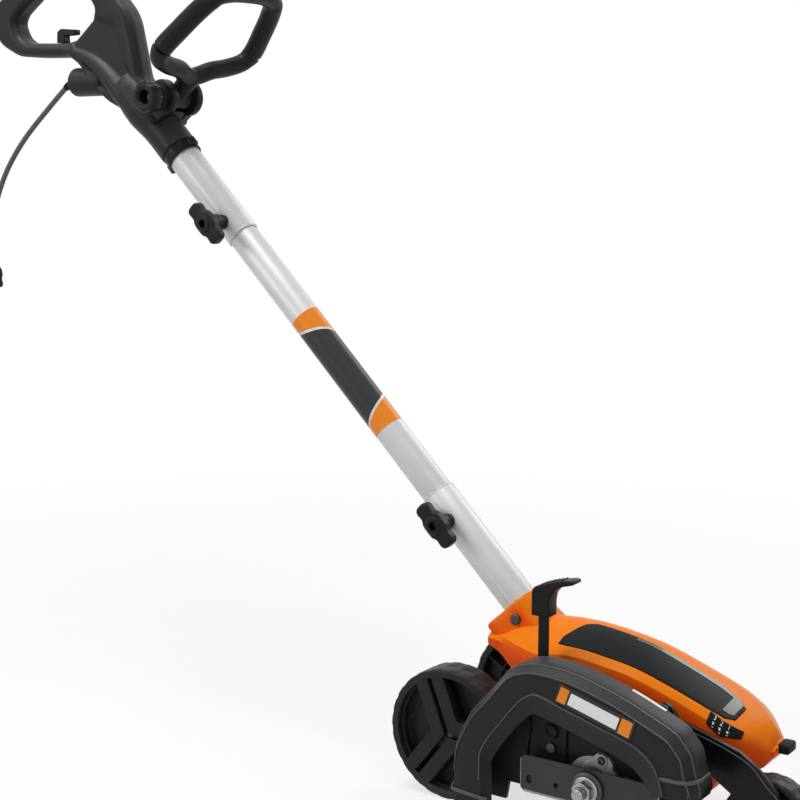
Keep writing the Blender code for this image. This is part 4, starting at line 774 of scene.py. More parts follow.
def coverSide(half, top, shoulder, low):
    # right halves of sections: a straight wall, a rounded shoulder, a crown rising by a power of 1.75
    fall = np.minimum(16.0, (shoulder - low) * 0.4)
    corners = ((-half, low), (-half, (low + shoulder - fall) / 2), (-half, shoulder - fall),
               (-half + 3, shoulder - fall * 0.4), (-half + 10, shoulder - 1))
    wall = np.stack([np.stack(corner, -1) for corner in corners], 1)
    across = np.linspace(1, 0, 13)[None, :]
    lift = (1 - across ** 1.75) * (top - shoulder + 1)[:, None]
    crown = np.stack([-(half[:, None] - 10) * across, (shoulder - 1)[:, None] + lift], -1)
    return np.concatenate([wall, crown[:, 1:]], 1)


def coverRows(x, shrink=0.0):
    # sections of the cover at many stations, both halves, from the right lower edge over to the left
    dense = smoothLine(cover["stations"], 6)
    dense = dense[np.concatenate([[True], np.diff(dense[:, 0]) > 1e-6])]
    half, top, shoulder, low, fall, leftHalf = (np.interp(x, dense[:, 0], dense[:, k]) for k in range(1, 7))
    right = coverSide(half - shrink, top - shrink, shoulder - shrink, low)
    left = coverSide(leftHalf - shrink, top - shrink, shoulder - shrink - fall, low)
    return np.concatenate([right, left[:, -2::-1] * np.array([-1, 1])], 1)


def coverGrid(x, shrink=0.0):
    # the sections as points of x, y and z
    rows = coverRows(x, shrink)
    return np.concatenate([np.broadcast_to(x[:, None, None], (*rows.shape[:2], 1)), rows], 2)


def coverHeight(x, y):
    # the height of the cover's top skin over a point
    x, y = np.broadcast_arrays(np.asarray(x, float), np.asarray(y, float))
    rows = coverRows(x.ravel())[:, 4:-4]
    heights = [np.interp(spot, row[:, 0], row[:, 1]) for spot, row in zip(y.ravel(), rows)]
    return np.array(heights).reshape(x.shape)


def panelGrid(low, high, grow, first=0.0, last=1.0, edges=(0.0, 1.0), rows=54):
    # a closed slab over the right half of the cover's skin, between two heights, inside the panel's outline
    table = np.array(cover["panel"], float)
    share = np.linspace(first, last, rows)
    run = (table[:, 0] - table[0, 0]) / (table[-1, 0] - table[0, 0])
    x = table[0, 0] + share * (table[-1, 0] - table[0, 0])
    outer, inner = (np.interp(share, run, table[:, k]) for k in (1, 2))
    x = x + np.where(share <= 0, -grow, 0) + np.where(share >= 1, grow, 0)
    outer, inner = outer + grow, inner - grow
    span = np.linspace(edges[0], edges[1], 15)[None, :]
    y = -(outer[:, None] + (inner - outer)[:, None] * span)
    stations = np.broadcast_to(x[:, None], y.shape)
    skin = coverHeight(stations, y)
    under = np.stack([stations, y, skin + low], -1)
    over = np.stack([stations, y, skin + high], -1)[:, ::-1]
    return gridShape(np.concatenate([under, over], 1))


def closingRings(ring, steps):
    # an end section drawn in towards its middle by shares, and moved along x
    middle = ring.mean(0)
    return np.array([middle + (ring - middle) * share + (out, 0, 0) for share, out in steps])


def makeCover():
    # the cover: its skin with a wall inside, the tube socket, the panel's recess, vents on the far side
    stations = np.array(cover["stations"], float)[:, 0]
    x = np.unique(np.concatenate([np.linspace(stations[0], stations[-1], 74), stations]))
    skin = coverGrid(x)
    heel = closingRings(skin[0], ((0.9, -1.6), (0.97, -0.8)))
    nose = closingRings(skin[-1], ((0.96, 1.4), (0.82, 2.6), (0.5, 3.2)))
    space = coverGrid(x[6:-6], cover["wall"])
    space[:, [0, -1], 2] -= 30
    solid = meshOf(gridShape(np.concatenate([heel, skin, nose])), 22)
    mesh = worked(solid, without(gridShape(space)), sharp=22)
    rings = []
    for station, narrow, wide, front, back in cover["socket"]:
        half = [(0, front), (narrow * 0.62, front - 3), (narrow * 0.95, front - 14), (narrow, front - 28),
                (wide, back + 9), (wide - 5, back), (0, back - 1)]
        loop = roundedCorners(mirrored(half), 7.0)
        rings.append(onTube(station, loop[:, 0], loop[:, 1]))
    mesh = worked(mesh, withAlso(meshOf(gridShape(np.array(rings)), 40)), sharp=24)
    bore = rodShape(cover["bore"], 60, 180, onTube(0), tube["axis"], 64)
    mouth = turnedShape([(22.3, 131), (24.6, 136), (24.6, 150), (22.3, 150)], onTube(0), tube["axis"], 64)
    near, far = cover["pinDepth"]
    pins = [plateShape(cover["pin"] + circleLine(cover["pinRadius"], 32), low, high)
            for low, high in ((-far, -near), (near, far))]
    mesh = worked(mesh, *(without(tool) for tool in (bore, mouth, *pins)), sharp=24)
    recess = panelGrid(-cover["panelDepth"] - 0.6, 4, cover["gapRound"])
    mesh = worked(mesh, without(recess), sharp=24)
    slots = [plateShape(capsuleLine((x - 6, 134), (x + 12, 158), cover["ventRadius"]), 60, 90)
             for x in cover["vents"]]
    mesh = worked(mesh, without(joined(*slots)), sharp=24)
    placed("motor_cover_moulding", mesh, "chassis", "orange", ("motor_cover",))
    backing = roundedCorners([(112, 128), (246, 128), (246, 164), (112, 164)], 5)
    placed("vent_screen", plateShape(backing, 70.2, 72.4), "chassis", "black")


def makePanels():
    # the dark panel let into the cover's top, and the polished strip that widens along its spine side
    panel = meshOf(panelGrid(-cover["panelDepth"], cover["panelProud"], 0), 28)
    placed("top_panel", worked(panel, bevelled(0.5, 2, 50), sharp=35), "chassis", "panel", ("cover_inlay",))
    lift = cover["panelProud"] + cover["stripProud"]
    strip = panelGrid(0.2, lift, -0.4, 0.36, 0.985, (0.86, 0.985))
    end = panelGrid(0.2, lift, -0.6, 0.93, 0.985, (0.2, 0.9), 12)
    placed("panel_strip", worked(strip, withAlso(end)), "chassis", "gloss")


scale = {
    "from": 312, "length": 35, "thick": 1.2, "printLift": 1.35, "numbersAt": (0.2, 0.42, 0.64),
    "numberHeight": 0.70, "numberSize": (0.17, 0.5),
    "lines": ((0.24, 0.38), (0.10, 0.14)),  # bottom and top of the marks under each number
    "ends": [(312, 0.6, 2.7), (328, 0.25, 2.35), (347, 0.9, 2.05)]}  # x, and rows of the cover's section


def plateOnCover(u, v, lift):
    # the scale plate's surface: u runs forward along the cover's shoulder, v climbs over it, lift leaves it
    u, v = np.broadcast_arrays(np.asarray(u, float), np.asarray(v, float))
    x = scale["from"] + u.ravel() * scale["length"]
    ends = np.array(scale["ends"])
    low, high = (np.interp(x, ends[:, 0], ends[:, k]) for k in (1, 2))
    share = low + (high - low) * v.ravel()
    rows = coverRows(x)[:, 2:7]
    step = np.clip(share.astype(int), 0, 3)
    pick = np.arange(len(x))
    first, second = rows[pick, step], rows[pick, step + 1]
    spot = first + (second - first) * (share - step)[:, None]
    tilt = np.radians(22 + 17 * np.clip(share, 0, 3))
    out = np.stack([-np.cos(tilt), np.sin(tilt)], -1) * (lift + 0.5)
    points = np.concatenate([x[:, None], spot + out], 1)
    return points.reshape(*u.shape, 3)


def digitShape(number):
    # a flat digit as points and faces, centred on the origin
    text = bpy.data.curves.new("digit", "FONT")
    text.body = str(number)
    text.size = 1.0
    holder = linked("digit", text)
    bpy.context.view_layer.update()
    flat = bpy.data.meshes.new_from_object(holder.evaluated_get(bpy.context.evaluated_depsgraph_get()))
    bpy.data.objects.remove(holder)
    spots = meshPoints(flat)
    return spots - (spots.max(0) + spots.min(0)) / 2, [list(face.vertices) for face in flat.polygons]


def makeScale():
    # the depth scale: a black plate with three numbers, and a pointer line under each
    u, v = np.meshgrid(np.linspace(0, 1, 16), np.linspace(0, 1, 9), indexing="ij")
    under, over = plateOnCover(u, v, 0.0), plateOnCover(u, v, scale["thick"])[:, ::-1]
    plate = worked(gridShape(np.concatenate([under, over], 1)), bevelled(0.3, 2, 50))
    placed("depth_scale", plate, "chassis", "panel", ("scale_plate",))
    marks = []
    wide, tall = scale["numberSize"]
    for index, share in enumerate(scale["numbersAt"]):
        spots, faces = digitShape(3 - index)
        marks.append((plateOnCover(share + spots[:, 0] * wide, scale["numberHeight"] + spots[:, 1] * tall,
                                   scale["printLift"]), faces))
        for bottom, top in scale["lines"]:
            line = np.array([(share - 0.02, bottom), (share + 0.02, bottom), (share + 0.035, top),
                             (share - 0.035, top)])
            marks.append((plateOnCover(line[:, 0], line[:, 1], scale["printLift"]), [[0, 1, 2, 3]]))
    placed("scale_numbers", joined(*marks), "chassis", "white")


makeCover()
makePanels()
makeScale()
softened("lower_shell", "chassis", "orange", 1.6, "lower_shell_moulding", 3)
softened("nose_bumper", "chassis", "rubber", 0.8, "nose_tab")

print("stage 6: blade guard")
guard = {
    "back": -118.0, "outer": -161.0, "wall": 4.0, "shoulder": -146.0, "chamfer": 8.5, "lip": -150.0,
    "backThick": 5.0, "noseHole": 33.3, "foot": [(296, 89), (293, 46), (92, 46), (88, 24)],
    "arch": [  # outer edge x z, window ridge x z, window edge x z
        (32, 24, 77, 24, 84, 24), (33, 77, 77, 72, 84, 66), (39, 100, 78, 90, 84, 79),
        (55, 132, 88, 109, 95, 98), (76, 157, 103, 129, 110, 118), (90, 174, 116, 146, 121, 131),
        (104, 190, 128, 160, 130, 140),
        (120, 199.5, 137, 167, 135.5, 144), (145, 205, 149, 171, 143, 145), (189, 202, 178, 163, 172, 138),
        (242, 188, 222, 151, 212, 127), (283, 172, 262, 140, 252, 114), (310, 160, 279, 131, 262, 109),
        (322, 148, 288, 123, 268, 104), (330, 137, 294, 114, 273, 99), (335, 117, 298, 104, 278, 93),
        (341, 102, 300, 96, 282, 88), (339, 89, 301, 89, 286, 83)],
    "badge": [(178.5, 192.0), (170.5, 170.5), (263.5, 144.5), (270.5, 166.5)],
    "screws": ((147, 119), (268, 108)), "lineFrom": (246, -124.5), "lineTo": (286, -120.0),
    "lineSlope": 0.03,
    "ribs": (((112, 50), (120, 128)), ((163, 50), (168, 160)), ((284, 52), (286, 122)))}


def makeGuard():
    # the guard: one section carried along the arch from its heel to its nose, plus its back wall
    arch = smoothLine(guard["arch"], 6)
    edge, ridge, lip = arch[:, 0:2], arch[:, 2:4], arch[:, 4:6]
    toWindow = unit(ridge - edge)
    along = np.gradient(edge, axis=0)
    normal = unit(np.stack([along[:, 1], -along[:, 0]], 1))
    normal *= np.sign(np.sum(normal * toWindow, 1, keepdims=True))
    wall, back, outer, shoulder, chamfer, lipY = (
        guard[key] for key in ("wall", "back", "outer", "shoulder", "chamfer", "lip"))
    bevel = lip - ridge
    columns = [
        (edge + normal * wall, back), (edge + normal * 1.0, back), (edge, back - 1.0),
        (edge, (back + shoulder) / 2), (edge, shoulder + 1.6), (edge + normal * 0.5, shoulder - 0.5),
        (edge + normal * 1.5, shoulder - 2.2), (edge + normal * (chamfer - 1.7), outer + 2.4),
        (edge + normal * (chamfer - 0.6), outer + 0.7), (edge + normal * (chamfer + 1.1), outer),
        (edge * 0.45 + ridge * 0.55, outer), (ridge - toWindow * 3.4, outer),
        (ridge - toWindow * 2.4, outer - 1.0), (ridge - toWindow * 0.6, outer - 1.2), (ridge, outer - 0.8),
        (ridge + bevel * 0.08, outer + 0.4), (ridge + bevel * 0.5, (outer + lipY) / 2 + 0.5),
        (lip - bevel * 0.05, lipY - 0.5), (lip, lipY + 0.4), (lip - bevel * 0.08, lipY + 1.8),
        (ridge, lipY + 1.8), (edge + normal * 12, lipY + 1.8), (edge + normal * (wall + 1), shoulder + 4),
        (edge + normal * wall, shoulder + 8)]
    arched = meshOf(gridShape(np.stack([sideLine(line, y) for line, y in columns], 1)), 26)
    outline = insetLine(np.concatenate([edge, guard["foot"]]), 1.0)
    nose = plateShape(spindle + circleLine(guard["noseHole"], 64), back - 9, back + 4)
    panel = worked(plateShape(outline, back - guard["backThick"], back), without(nose))
    placed("blade_guard_moulding", together(26, panel, arched), "chassis", "guard", ("blade_guard",))
    # painted highlights: lighter beads along the window ridge, the shoulder and the chamfer, where those
    # edges catch the light
    paintedHighlightLines = ((ridge - toWindow * 2.0, outer - 0.7, 2.2), (edge + normal * 1.6, shoulder - 2.1, 1.3),
              (edge + normal * (chamfer + 0.2), outer + 0.1, 1.1))
    beads = [beadShape(sideLine(line, y)[4:-2], wide, 0.6, 0.5) for line, y, wide in paintedHighlightLines]
    placed("guard_beads", joined(*beads), "chassis", "edge", (), 50)
    return edge, normal


def guardSkin(edge, normal, x, y, lift):
    # a point on the skirt over x, at depth y, raised off the skin
    skirt = slice(30, 92)  # the stretch of the arch whose x only grows
    line, out = edge[skirt], normal[skirt]
    z = np.interp(x, line[:, 0], line[:, 1])
    away = np.stack([np.interp(x, line[:, 0], out[:, k]) for k in (0, 1)], -1)
    return np.stack([x - away[..., 0] * lift, y, z - away[..., 1] * lift], -1)


def makeGuardTrim(edge, normal):
    # what stands on the guard: strips at heel and nose, screw bosses, plain badge, position line
    outer = guard["outer"]
    heel = [(84, outer + 1, 35.6), (77, outer - 0.4, 36.2), (43, outer - 0.4, 38.4), (36.6, outer + 2, 39),
            (31.8, -147, 39.6), (31.6, -132, 39.8), (31.8, -120, 39.8)]
    nose = [(298, outer + 1, 109.6), (303, outer - 0.4, 110), (326, outer - 0.4, 111.2),
            (331.6, outer + 2.6, 111.4), (337.6, -147, 111), (338, -132, 110.6), (337.6, -120, 110.6)]
    # the strips are in the lighter edge finish: painted highlights where heel and nose catch the light
    strips = [beadShape(smoothLine(path, 4), 2.2, 1.3, 1.1, (0, 0, 1)) for path in (heel, nose)]
    placed("guard_strips", joined(*strips), "chassis", "edge", (), 40)

    (x1, y1), (x2, y2) = guard["lineFrom"], guard["lineTo"]
    across, deep = np.meshgrid(np.linspace(x1, x2, 16), np.linspace(y1, y2, 3), indexing="ij")
    deep = deep + (across - x1) * guard["lineSlope"]
    under = guardSkin(edge, normal, across, deep, -0.3)
    over = guardSkin(edge, normal, across, deep, 0.35)[:, ::-1]
    placed("position_line", gridShape(np.concatenate([under, over], 1)), "chassis", "white")

    corners = np.array(guard["badge"], float)
    rim = worked(plateShape(roundedCorners(corners, 1.6, 4), outer - 1.7, outer + 0.6, 0.4, 2), sharp=35)
    placed("badge_frame", rim, "chassis", "labelDark", ("guard_badge_plate",))
    inner = insetLine(corners, 2.4)
    topLine, lowLine = inner[3] - inner[0], inner[2] - inner[1]

    def badgeBlock(low, high, trim):
        # a block of the badge between two shares of its length, its long sides drawn in by a share
        ends = [(inner[0] + topLine * share, inner[1] + lowLine * share) for share in (low, high)]
        block = [top + (base - top) * part for (top, base), part in
                 ((ends[0], trim), (ends[0], 1 - trim), (ends[1], 1 - trim), (ends[1], trim))]
        return plateShape(roundedCorners(block, 0.6, 3), outer - 2.2, outer - 1.4)

    placed("badge_field", badgeBlock(0.15, 0.82, 0.1), "chassis", "white")
    placed("badge_ends", joined(badgeBlock(0.0, 0.12, 0.0), badgeBlock(0.85, 1.0, 0.0)), "chassis",
           "labelOrange")

    inside = guard["back"] - guard["backThick"]
    boss = [(0, 0.5), (9.5, 0.5), (8.6, 1.4), (8.2, 4.6), (7.4, 5.4), (5.2, 5.4), (4.6, 3.4), (0, 3.4)]
    stand = [turnedShape(boss, (x, inside + 0.8, z), (0, -1, 0), 32) for x, z in guard["screws"]]
    stand += [barShape((x1, inside - 1.2, z1), (x2, inside - 1.2, z2), 2.2, 4.0)
              for (x1, z1), (x2, z2) in guard["ribs"]]
    placed("guard_inner_bosses", joined(*stand), "chassis", "guard")


edgeLine, edgeNormal = makeGuard()
makeGuardTrim(edgeLine, edgeNormal)

print("stage 7: wheels")
rolling = {
    "rear": {"axle": (0, 80), "radius": 80.0, "width": 38.0, "track": 192.0, "ring": 10.0, "lugs": 24,
             "bore": 5.3, "slot": 6.0, "bar": 17.0},
    "front": {"axle": (386, 50), "radius": 50.0, "width": 29.0, "track": 126.0, "ring": 7.0, "lugs": 18,
              "bore": 5.3, "slot": 4.0, "bar": 10.5},
    "slotHeadings": (-8.0, 112.0, 232.0), "lugSteps": 8, "lugDepth": 0.6, "seamDepth": 0.5, "ribs": 12,
    "axleRadius": 5.0, "axleHalf": 107.4}


def chevronLine(first, second, slot, bar, reach):
    # a chevron between two slots: two bars, one along each slot, that meet at the wheel's middle
    one, other = (np.array((math.cos(math.radians(a)), math.sin(math.radians(a)))) for a in (first, second))
    middle = unit(one + other)
    near, far = unit(middle - one * (middle @ one)), unit(middle - other * (middle @ other))
    low, high = slot / 2, slot / 2 + bar
    ends = [math.sqrt(reach ** 2 - offset ** 2) for offset in (low, high)]
    corner = math.sin(math.radians(60))
    return np.array([middle * low / corner, one * ends[0] + near * low, one * ends[1] + near * high,
                     middle * high / corner, other * ends[1] + far * high, other * ends[0] + far * low])


def makeWheel(kind, name, side):
    # a moulded wheel: shallow-lugged tread, flat ring, deep web, three chevrons, ribbed inner side
    size = rolling[kind]
    radius, half = size["radius"], size["width"] / 2
    hub, rim, skin = radius * 0.3, radius - size["ring"], radius - 0.05
    tread = [(rim, half - 0.8), (rim + 0.8, half - 0.2), (radius - 2.6, half), (radius - 1.0, half - 0.7),
             (radius - 0.2, half - 2.2), (skin, half - 4.0), (skin, half - 9), (skin, 2.2), (skin, 1.2)]
    profile = tread + [(reach, -height) for reach, height in tread[::-1]] + [
        (rim - 1.4, -5.0), (hub + 2, -5.0), (hub, -6.5), (hub - 1, -half + 0.6), (hub - 2, -half),
        (size["bore"], -half), (size["bore"], half - 7.0), (hub, half - 7.0), (hub + 1.5, -1.0),
        (rim - 4.0, -1.0), (rim - 2.6, 0.6), (rim - 2.2, half * 0.5), (rim - 0.9, half * 0.56)]

    def lugWave(points, angle):
        # shallow grooves across the tread, offset from one half to the other, and one round its middle
        turn = angle * size["lugs"] / (2 * np.pi)
        tread = points[:, :1] > radius - 1.5
        middle = np.abs(points[:, 1:2]) <= 1.7
        phase = np.where(points[:, 1:2] > 0, 0.0, 0.5)
        cut = np.abs(((turn[None] + phase) % 1.0) - 0.5) < 0.14
        grooves = np.where(tread & cut & ~middle, rolling["lugDepth"], 0.0)
        return -grooves - np.where(middle & tread, rolling["seamDepth"], 0.0)

    centre = np.array((size["axle"][0], side * size["track"] / 2, size["axle"][1]), float)
    axis = np.array((0, side, 0))
    shapes = [turnedShape(profile, centre, axis, size["lugs"] * rolling["lugSteps"], lugWave, True)]
    headings = rolling["slotHeadings"]
    for first, second in zip(headings, (*headings[1:], headings[0] + 360)):
        line = chevronLine(first, second, size["slot"], size["bar"], rim + 0.8)
        low, high = sorted((centre[1] + side * (half - 0.7), centre[1] - side * 1.5))
        shapes.append(plateShape(roundedCorners(line, 3.4) + centre[[0, 2]], low, high, 1.0))
    for angle in 2 * math.pi * np.arange(rolling["ribs"]) / rolling["ribs"]:
        out = np.array((math.cos(angle), 0, math.sin(angle)))
        deep = axis * ((3.0 - half) / 2 - 2.5)
        shapes.append(barShape(centre + out * (hub - 1.5) + deep, centre + out * (rim + 0.4) + deep, 1.8,
                               half - 6.0, rounding=0.4))
    ring = [(radius * 0.56, -4.6), (radius * 0.56, -half + 4), (radius * 0.585, -half + 4),
            (radius * 0.585, -4.6)]
    shapes.append(turnedShape(ring, centre, axis, 72))
    placed(name + "_moulded", joined(*shapes), name, "wheel", (name,), 32)


def makeAxle():
    # the rear axle with a small chamfer at both ends
    radius, half = rolling["axleRadius"], rolling["axleHalf"]
    end = [(0, -half), (radius - 0.6, -half), (radius, 0.6 - half)]
    profile = end + [(reach, -height) for reach, height in end[::-1]]
    x, z = rolling["rear"]["axle"]
    placed("rear_axle_bar", turnedShape(profile, (x, 0, z), (0, 1, 0), 32), "chassis", "darkSteel",
           ("rear_axle",))


makeWheel("rear", "rear_wheel_right", -1)
makeWheel("rear", "rear_wheel_left", 1)
makeWheel("front", "front_wheel", -1)
makeAxle()

print("stage 8: blade drive")
drive = {
    "nutFrom": 147.1, "nutTo": 157.9, "nutBore": 7.3, "nutFlat": 12.5, "nutSteps": 96,
    "lug": [(190, 84), (226, 82), (228, 96), (221, 108), (207, 109), (199, 99), (190, 95)],
    "lugDepth": (-129.0, -117.0), "screw": (214, 101)}


def makeDrive():
    # the shown end of the drive: bevelled blade, flanges and nut, and a lug of the casting with its screw
    softened("cutting_blade", "spindle", "blade", 0.5, "edger_blade")
    softened("outer_flange", "spindle", "darkSteel", 0.6, "outer_washer")
    softened("inner_flange", "spindle", "darkSteel", 0.5, "inner_washer")
    steps, seat, end, bore = (drive[key] for key in ("nutSteps", "nutFrom", "nutTo", "nutBore"))
    angle = np.linspace(0, 2 * np.pi, steps, endpoint=False)
    around = np.stack([np.cos(angle), np.sin(angle)], 1)
    flat = drive["nutFlat"] * math.cos(math.pi / 6) / np.cos((angle + np.pi / 6) % (np.pi / 3) - np.pi / 6)
    rings = [  # how far out and how high each ring of the nut lies
        (bore, seat), (15.0, seat), (15.2, seat + 0.8), (13.6, seat + 2.0), (flat, seat + 2.2),
        (flat, end - 1.6), (np.minimum(flat, 11.4), end - 0.3), (10.4, end), (7.6, end), (bore, end - 0.4)]
    grid = [sideLine(spindle + around * np.broadcast_to(reach, steps)[:, None], -height)
            for reach, height in rings]
    placed("flanged_nut", gridShape(np.array(grid), True), "spindle", "steel", ("spindle_nut",), 28)
    x, z = drive["screw"]
    cast = plateShape(roundedCorners(drive["lug"], 6), *drive["lugDepth"], 1.6, 3)
    pad = turnedShape([(0, 0), (8.0, 0), (7.2, 2.2), (0, 2.2)], (x, -128.5, z), (0, -1, 0), 32)
    placed("casting_lug", joined(cast, pad), "chassis", "cast", (), 35)
    head = [(0, 0), (5.0, 0), (5.0, 1.2), (3.6, 2.9), (1.9, 3.3), (1.9, 1.4), (0, 1.4)]
    placed("lug_screw", turnedShape(head, (x, -130.5, z), (0, -1, 0), 24), "chassis", "darkSteel")


makeDrive()

print("stage 9: depth setting")
setting = {
    "leverPivot": (118, 150),
    "grip": [(-11.5, 93), (11.5, 93), (11.5, 111), (13, 120), (19, 127), (27, 131.5), (36, 134),
             (42.5, 136), (42.5, 140), (38, 140.5), (26, 138.5), (13, 135), (0, 130), (-8, 127),
             (-11.5, 122)],
    "gripDepth": (-103.6, -84.0), "cavityHalf": 6.55, "cavityTop": 121.3, "cavityDepth": (-95.9, -91.7),
    "ribs": 6, "ribStep": 5.0, "ribDepth": (-101.4, -86.2), "ribThick": 1.6,
    "armEdge": [(286, 146), (319, 138.6), (350, 128.8), (371, 118.5), (390, 99), (402.5, 86), (404.5, 62)],
    "armSide": -87.2, "beadDrop": 3.2}


def makeDepthParts():
    # arms, link and lever with softened edges, and the ribbed thumb grip
    softened("front_arm", "depth_arm", "piano", 1.6, "front_arm_moulded", 3)
    # the arm's bead is in the lighter edge finish: a painted highlight along the lit rim of its top edge
    path = smoothLine(setting["armEdge"], 6) - (0, setting["beadDrop"])
    placed("arm_bead", beadShape(sideLine(path, setting["armSide"]), 1.1, 0.7, 0.5), "depth_arm", "edge",
           (), 40)
    softened("depth_lever", "depth_lever", "black", 0.8, "lever_bar")
    softened("link_rod", "link_rod", "darkSteel", 0.5, "link_strip")
    x, z = setting["leverPivot"]
    outline = np.array(setting["grip"], float)
    grip = plateShape(roundedCorners(outline, 1.8, 4) + (x, z), *setting["gripDepth"], 1.5)
    half, top = setting["cavityHalf"], z + setting["cavityTop"]
    cavity = plateShape([(x - half, z + 80), (x + half, z + 80), (x + half, top), (x - half, top)],
                        *setting["cavityDepth"])
    mesh = worked(meshOf(grip, 32), without(cavity), sharp=32)
    placed("thumb_grip", mesh, "depth_lever", "black", ("lever_grip",))
    crest = outline[::-1][2:6]
    ribs, thick = [], setting["ribThick"]
    for along in 1 + np.arange(setting["ribs"]) * setting["ribStep"]:
        rise = np.interp(along, crest[:, 0], crest[:, 1]) + 0.1
        first, last = ((x + along, y, z + rise) for y in setting["ribDepth"])
        ribs.append(barShape(first, last, thick, thick, (0, 0, 1)))
    first, last = ((x - 11.9, y, z + 112) for y in (-100.0, -87.6))  # one more on the grip's back edge
    ribs.append(barShape(first, last, 1.2, thick, (0, 0, 1), 0.4))
    placed("grip_ribs", joined(*ribs), "depth_lever", "black", (), 40)


makeDepthParts()

print("stage 10: tubes and knobs")
tubes = {
    "labelFrom": 409.0, "labelTo": 598.0, "labelEnd": 22.0, "labelGap": 4.0, "labelLift": 0.14,
    "labelLean": 9.0, "labelHalf": 104.0, "labelTurn": 80.0, "middleRadius": 20.0,
    "drawn": {"lower_tube": "chassis", "middle_tube": "middle_tube", "upper_tube": "upper_tube"},
    "lips": (("lower", 302.5, 1, "chassis"), ("upper", 744.8, -1, "upper_tube")),
    "knobs": (("lower", 265.0, -56.0, -31.3, "chassis"), ("upper", 768.0, -62.0, -31.3, "upper_tube"))}


def makeTubeTrim():
    # the tubes without facets, the printed wrap of the middle one, and lips where they slide together
    for node, body in tubes["drawn"].items():
        softened(node, body, "tube", 0.3, node + "_drawn")
    low, high, end, lean, radius = (
        tubes[key] for key in ("labelFrom", "labelTo", "labelEnd", "labelLean", "middleRadius"))
    inner = end + tubes["labelGap"]
    half = math.radians(tubes["labelHalf"])
    angle = np.linspace(-half, half, 40)
    share = np.linspace(0, 1, 8)[:, None]
    turned = angle[None] - math.radians(tubes["labelTurn"])
    for name, start, stop, startLean, stopLean, look in (
            ("wrap_dark", low + inner, high - inner, lean, -lean, "labelDark"),
            ("wrap_low_end", low, low + end, 0.0, lean, "labelOrange"),
            ("wrap_high_end", high - end, high, -lean, 0.0, "labelOrange")):
        first, last = start + startLean * angle, stop + stopLean * angle
        station = first[None] + (last - first)[None] * share
        over, under = (onTube(station, np.sin(turned) * r, np.cos(turned) * r)
                       for r in (radius + tubes["labelLift"], radius - 0.4))
        placed(name, gridShape(np.concatenate([over, under[:, ::-1]], 1)), "middle_tube", look, (), 40)
    for name, station, way, body in tubes["lips"]:
        profile = [(20.3, 0.1), (22.0, 0.1), (22.2, 0.6), (21.9, 2.0), (20.6, 2.6), (20.3, 2.6)]
        turned = [(reach, height * way) for reach, height in profile]
        lip = turnedShape(turned, onTube(station), tube["axis"], 64, closed=True)
        placed(name + "_tube_lip", lip, body, "tube", (), 40)


def makeWingKnobs():
    # chunky two-winged knobs with a deep nut pocket, melted into one moulding
    quarter = np.array([(31, 0), (30, 7), (25, 10.4), (16, 10), (9, 13.4), (0, 14)], float)
    upper = np.concatenate([quarter, quarter[-2::-1] * (-1, 1)])
    wing = np.concatenate([upper, upper[-2:0:-1] * (1, -1)])
    along = tube["axis"][[0, 2]]
    across = np.array([-along[1], along[0]])
    for name, station, face, inner, body in tubes["knobs"]:
        x, _, z = onTube(station)
        line = np.array([x, z]) + wing[:, :1] * along + wing[:, 1:] * across
        wings = plateShape(smoothLine(line, 4, True), face + 2, face + 16, 3.0, 5)
        hub = turnedShape([(0, -inner), (11.4, -inner), (11.6, -inner + 2), (11.6, -face - 2),
                           (10.6, -face - 0.6), (9.6, -face), (0, -face)], (x, 0, z), (0, -1, 0), 48)
        pocket = plateShape((x, z) + circleLine(6.0, 6), face - 2, face + 9)
        mesh = worked(blendedMesh(joined(wings, hub), 0.8, 3, 0.45), without(pocket), sharp=50)
        bolt = rodShape(4, 20.4, -face - 6, (x, 0, z), (0, -1, 0))
        placed(name + "_wing_moulded", together(50, mesh, meshOf(bolt)), name + "_knob", "charcoal",
               (name + "_wing_knob",))
        softened(name + "_clamp_bush", body, "black", 0.6, name + "_bush_moulded")


makeTubeTrim()
makeWingKnobs()

print("stage 11: rear handle")
handle = {
    "outline": [
        (-560, 800), (-626, 829), (-676, 878), (-699, 891), (-760, 892), (-803, 895), (-836, 911),
        (-852, 930), (-867, 945), (-866, 955), (-850, 965), (-800, 1000), (-770, 1020), (-745, 1033),
        (-722, 1040), (-700, 1040), (-676, 1032), (-655, 1016), (-622, 990), (-600, 966), (-587, 952),
        (-579, 936), (-569, 891), (-562, 856), (-540, 835)],
    "opening": [
        (-806, 941), (-800, 953), (-769, 973), (-745, 989), (-726, 1000), (-708, 1002), (-690, 997),
        (-657, 968), (-648, 956), (-651, 944), (-690, 914), (-702, 911), (-780, 913), (-796, 922)],
    "middle": (-722, 955), "half": 17.5, "round": 12.0, "web": 3.2, "band": 27.0, "slotHalf": 6.6,
    "slot": [(-767, 970), (-767, 1004), (-745, 1018), (-702, 1026), (-686, 1022), (-686, 1004), (-700, 985),
             (-716, 960)],
    "neck": [(0, 1030), (24, 1028), (29, 1010), (30.8, 990), (31, 975), (29.4, 962), (27, 944), (26.5, 930),
             (26.5, 900), (25.5, 898.3), (22.3, 898.3), (22.3, 986), (0, 986)],
    "cup": [(0, 0), (18, 0), (19.4, 8), (19.8, 40), (20, 55), (19.4, 57.4), (17.6, 58), (0, 58)],
    "cupFrom": (-640, 0, 857),
    "root": [  # x, z, half height and half width of the swelling from the lower bar into the neck
        (-726, 901, 7, 16.5), (-700, 900, 9, 18.6), (-672, 893, 11.5, 20), (-645, 879, 15, 22.5),
        (-620, 859, 17.5, 25.5), (-597, 838, 18, 28), (-580, 821, 15, 29)],
    "screws": [  # x, z and how far each stands off the far side
        (-594, 935, 0.2), (-640, 930, -3.0), (-700, 902, 0.2), (-820, 916, 0.2), (-760, 1002, 0.2),
        (-640, 985, 0.2)]}


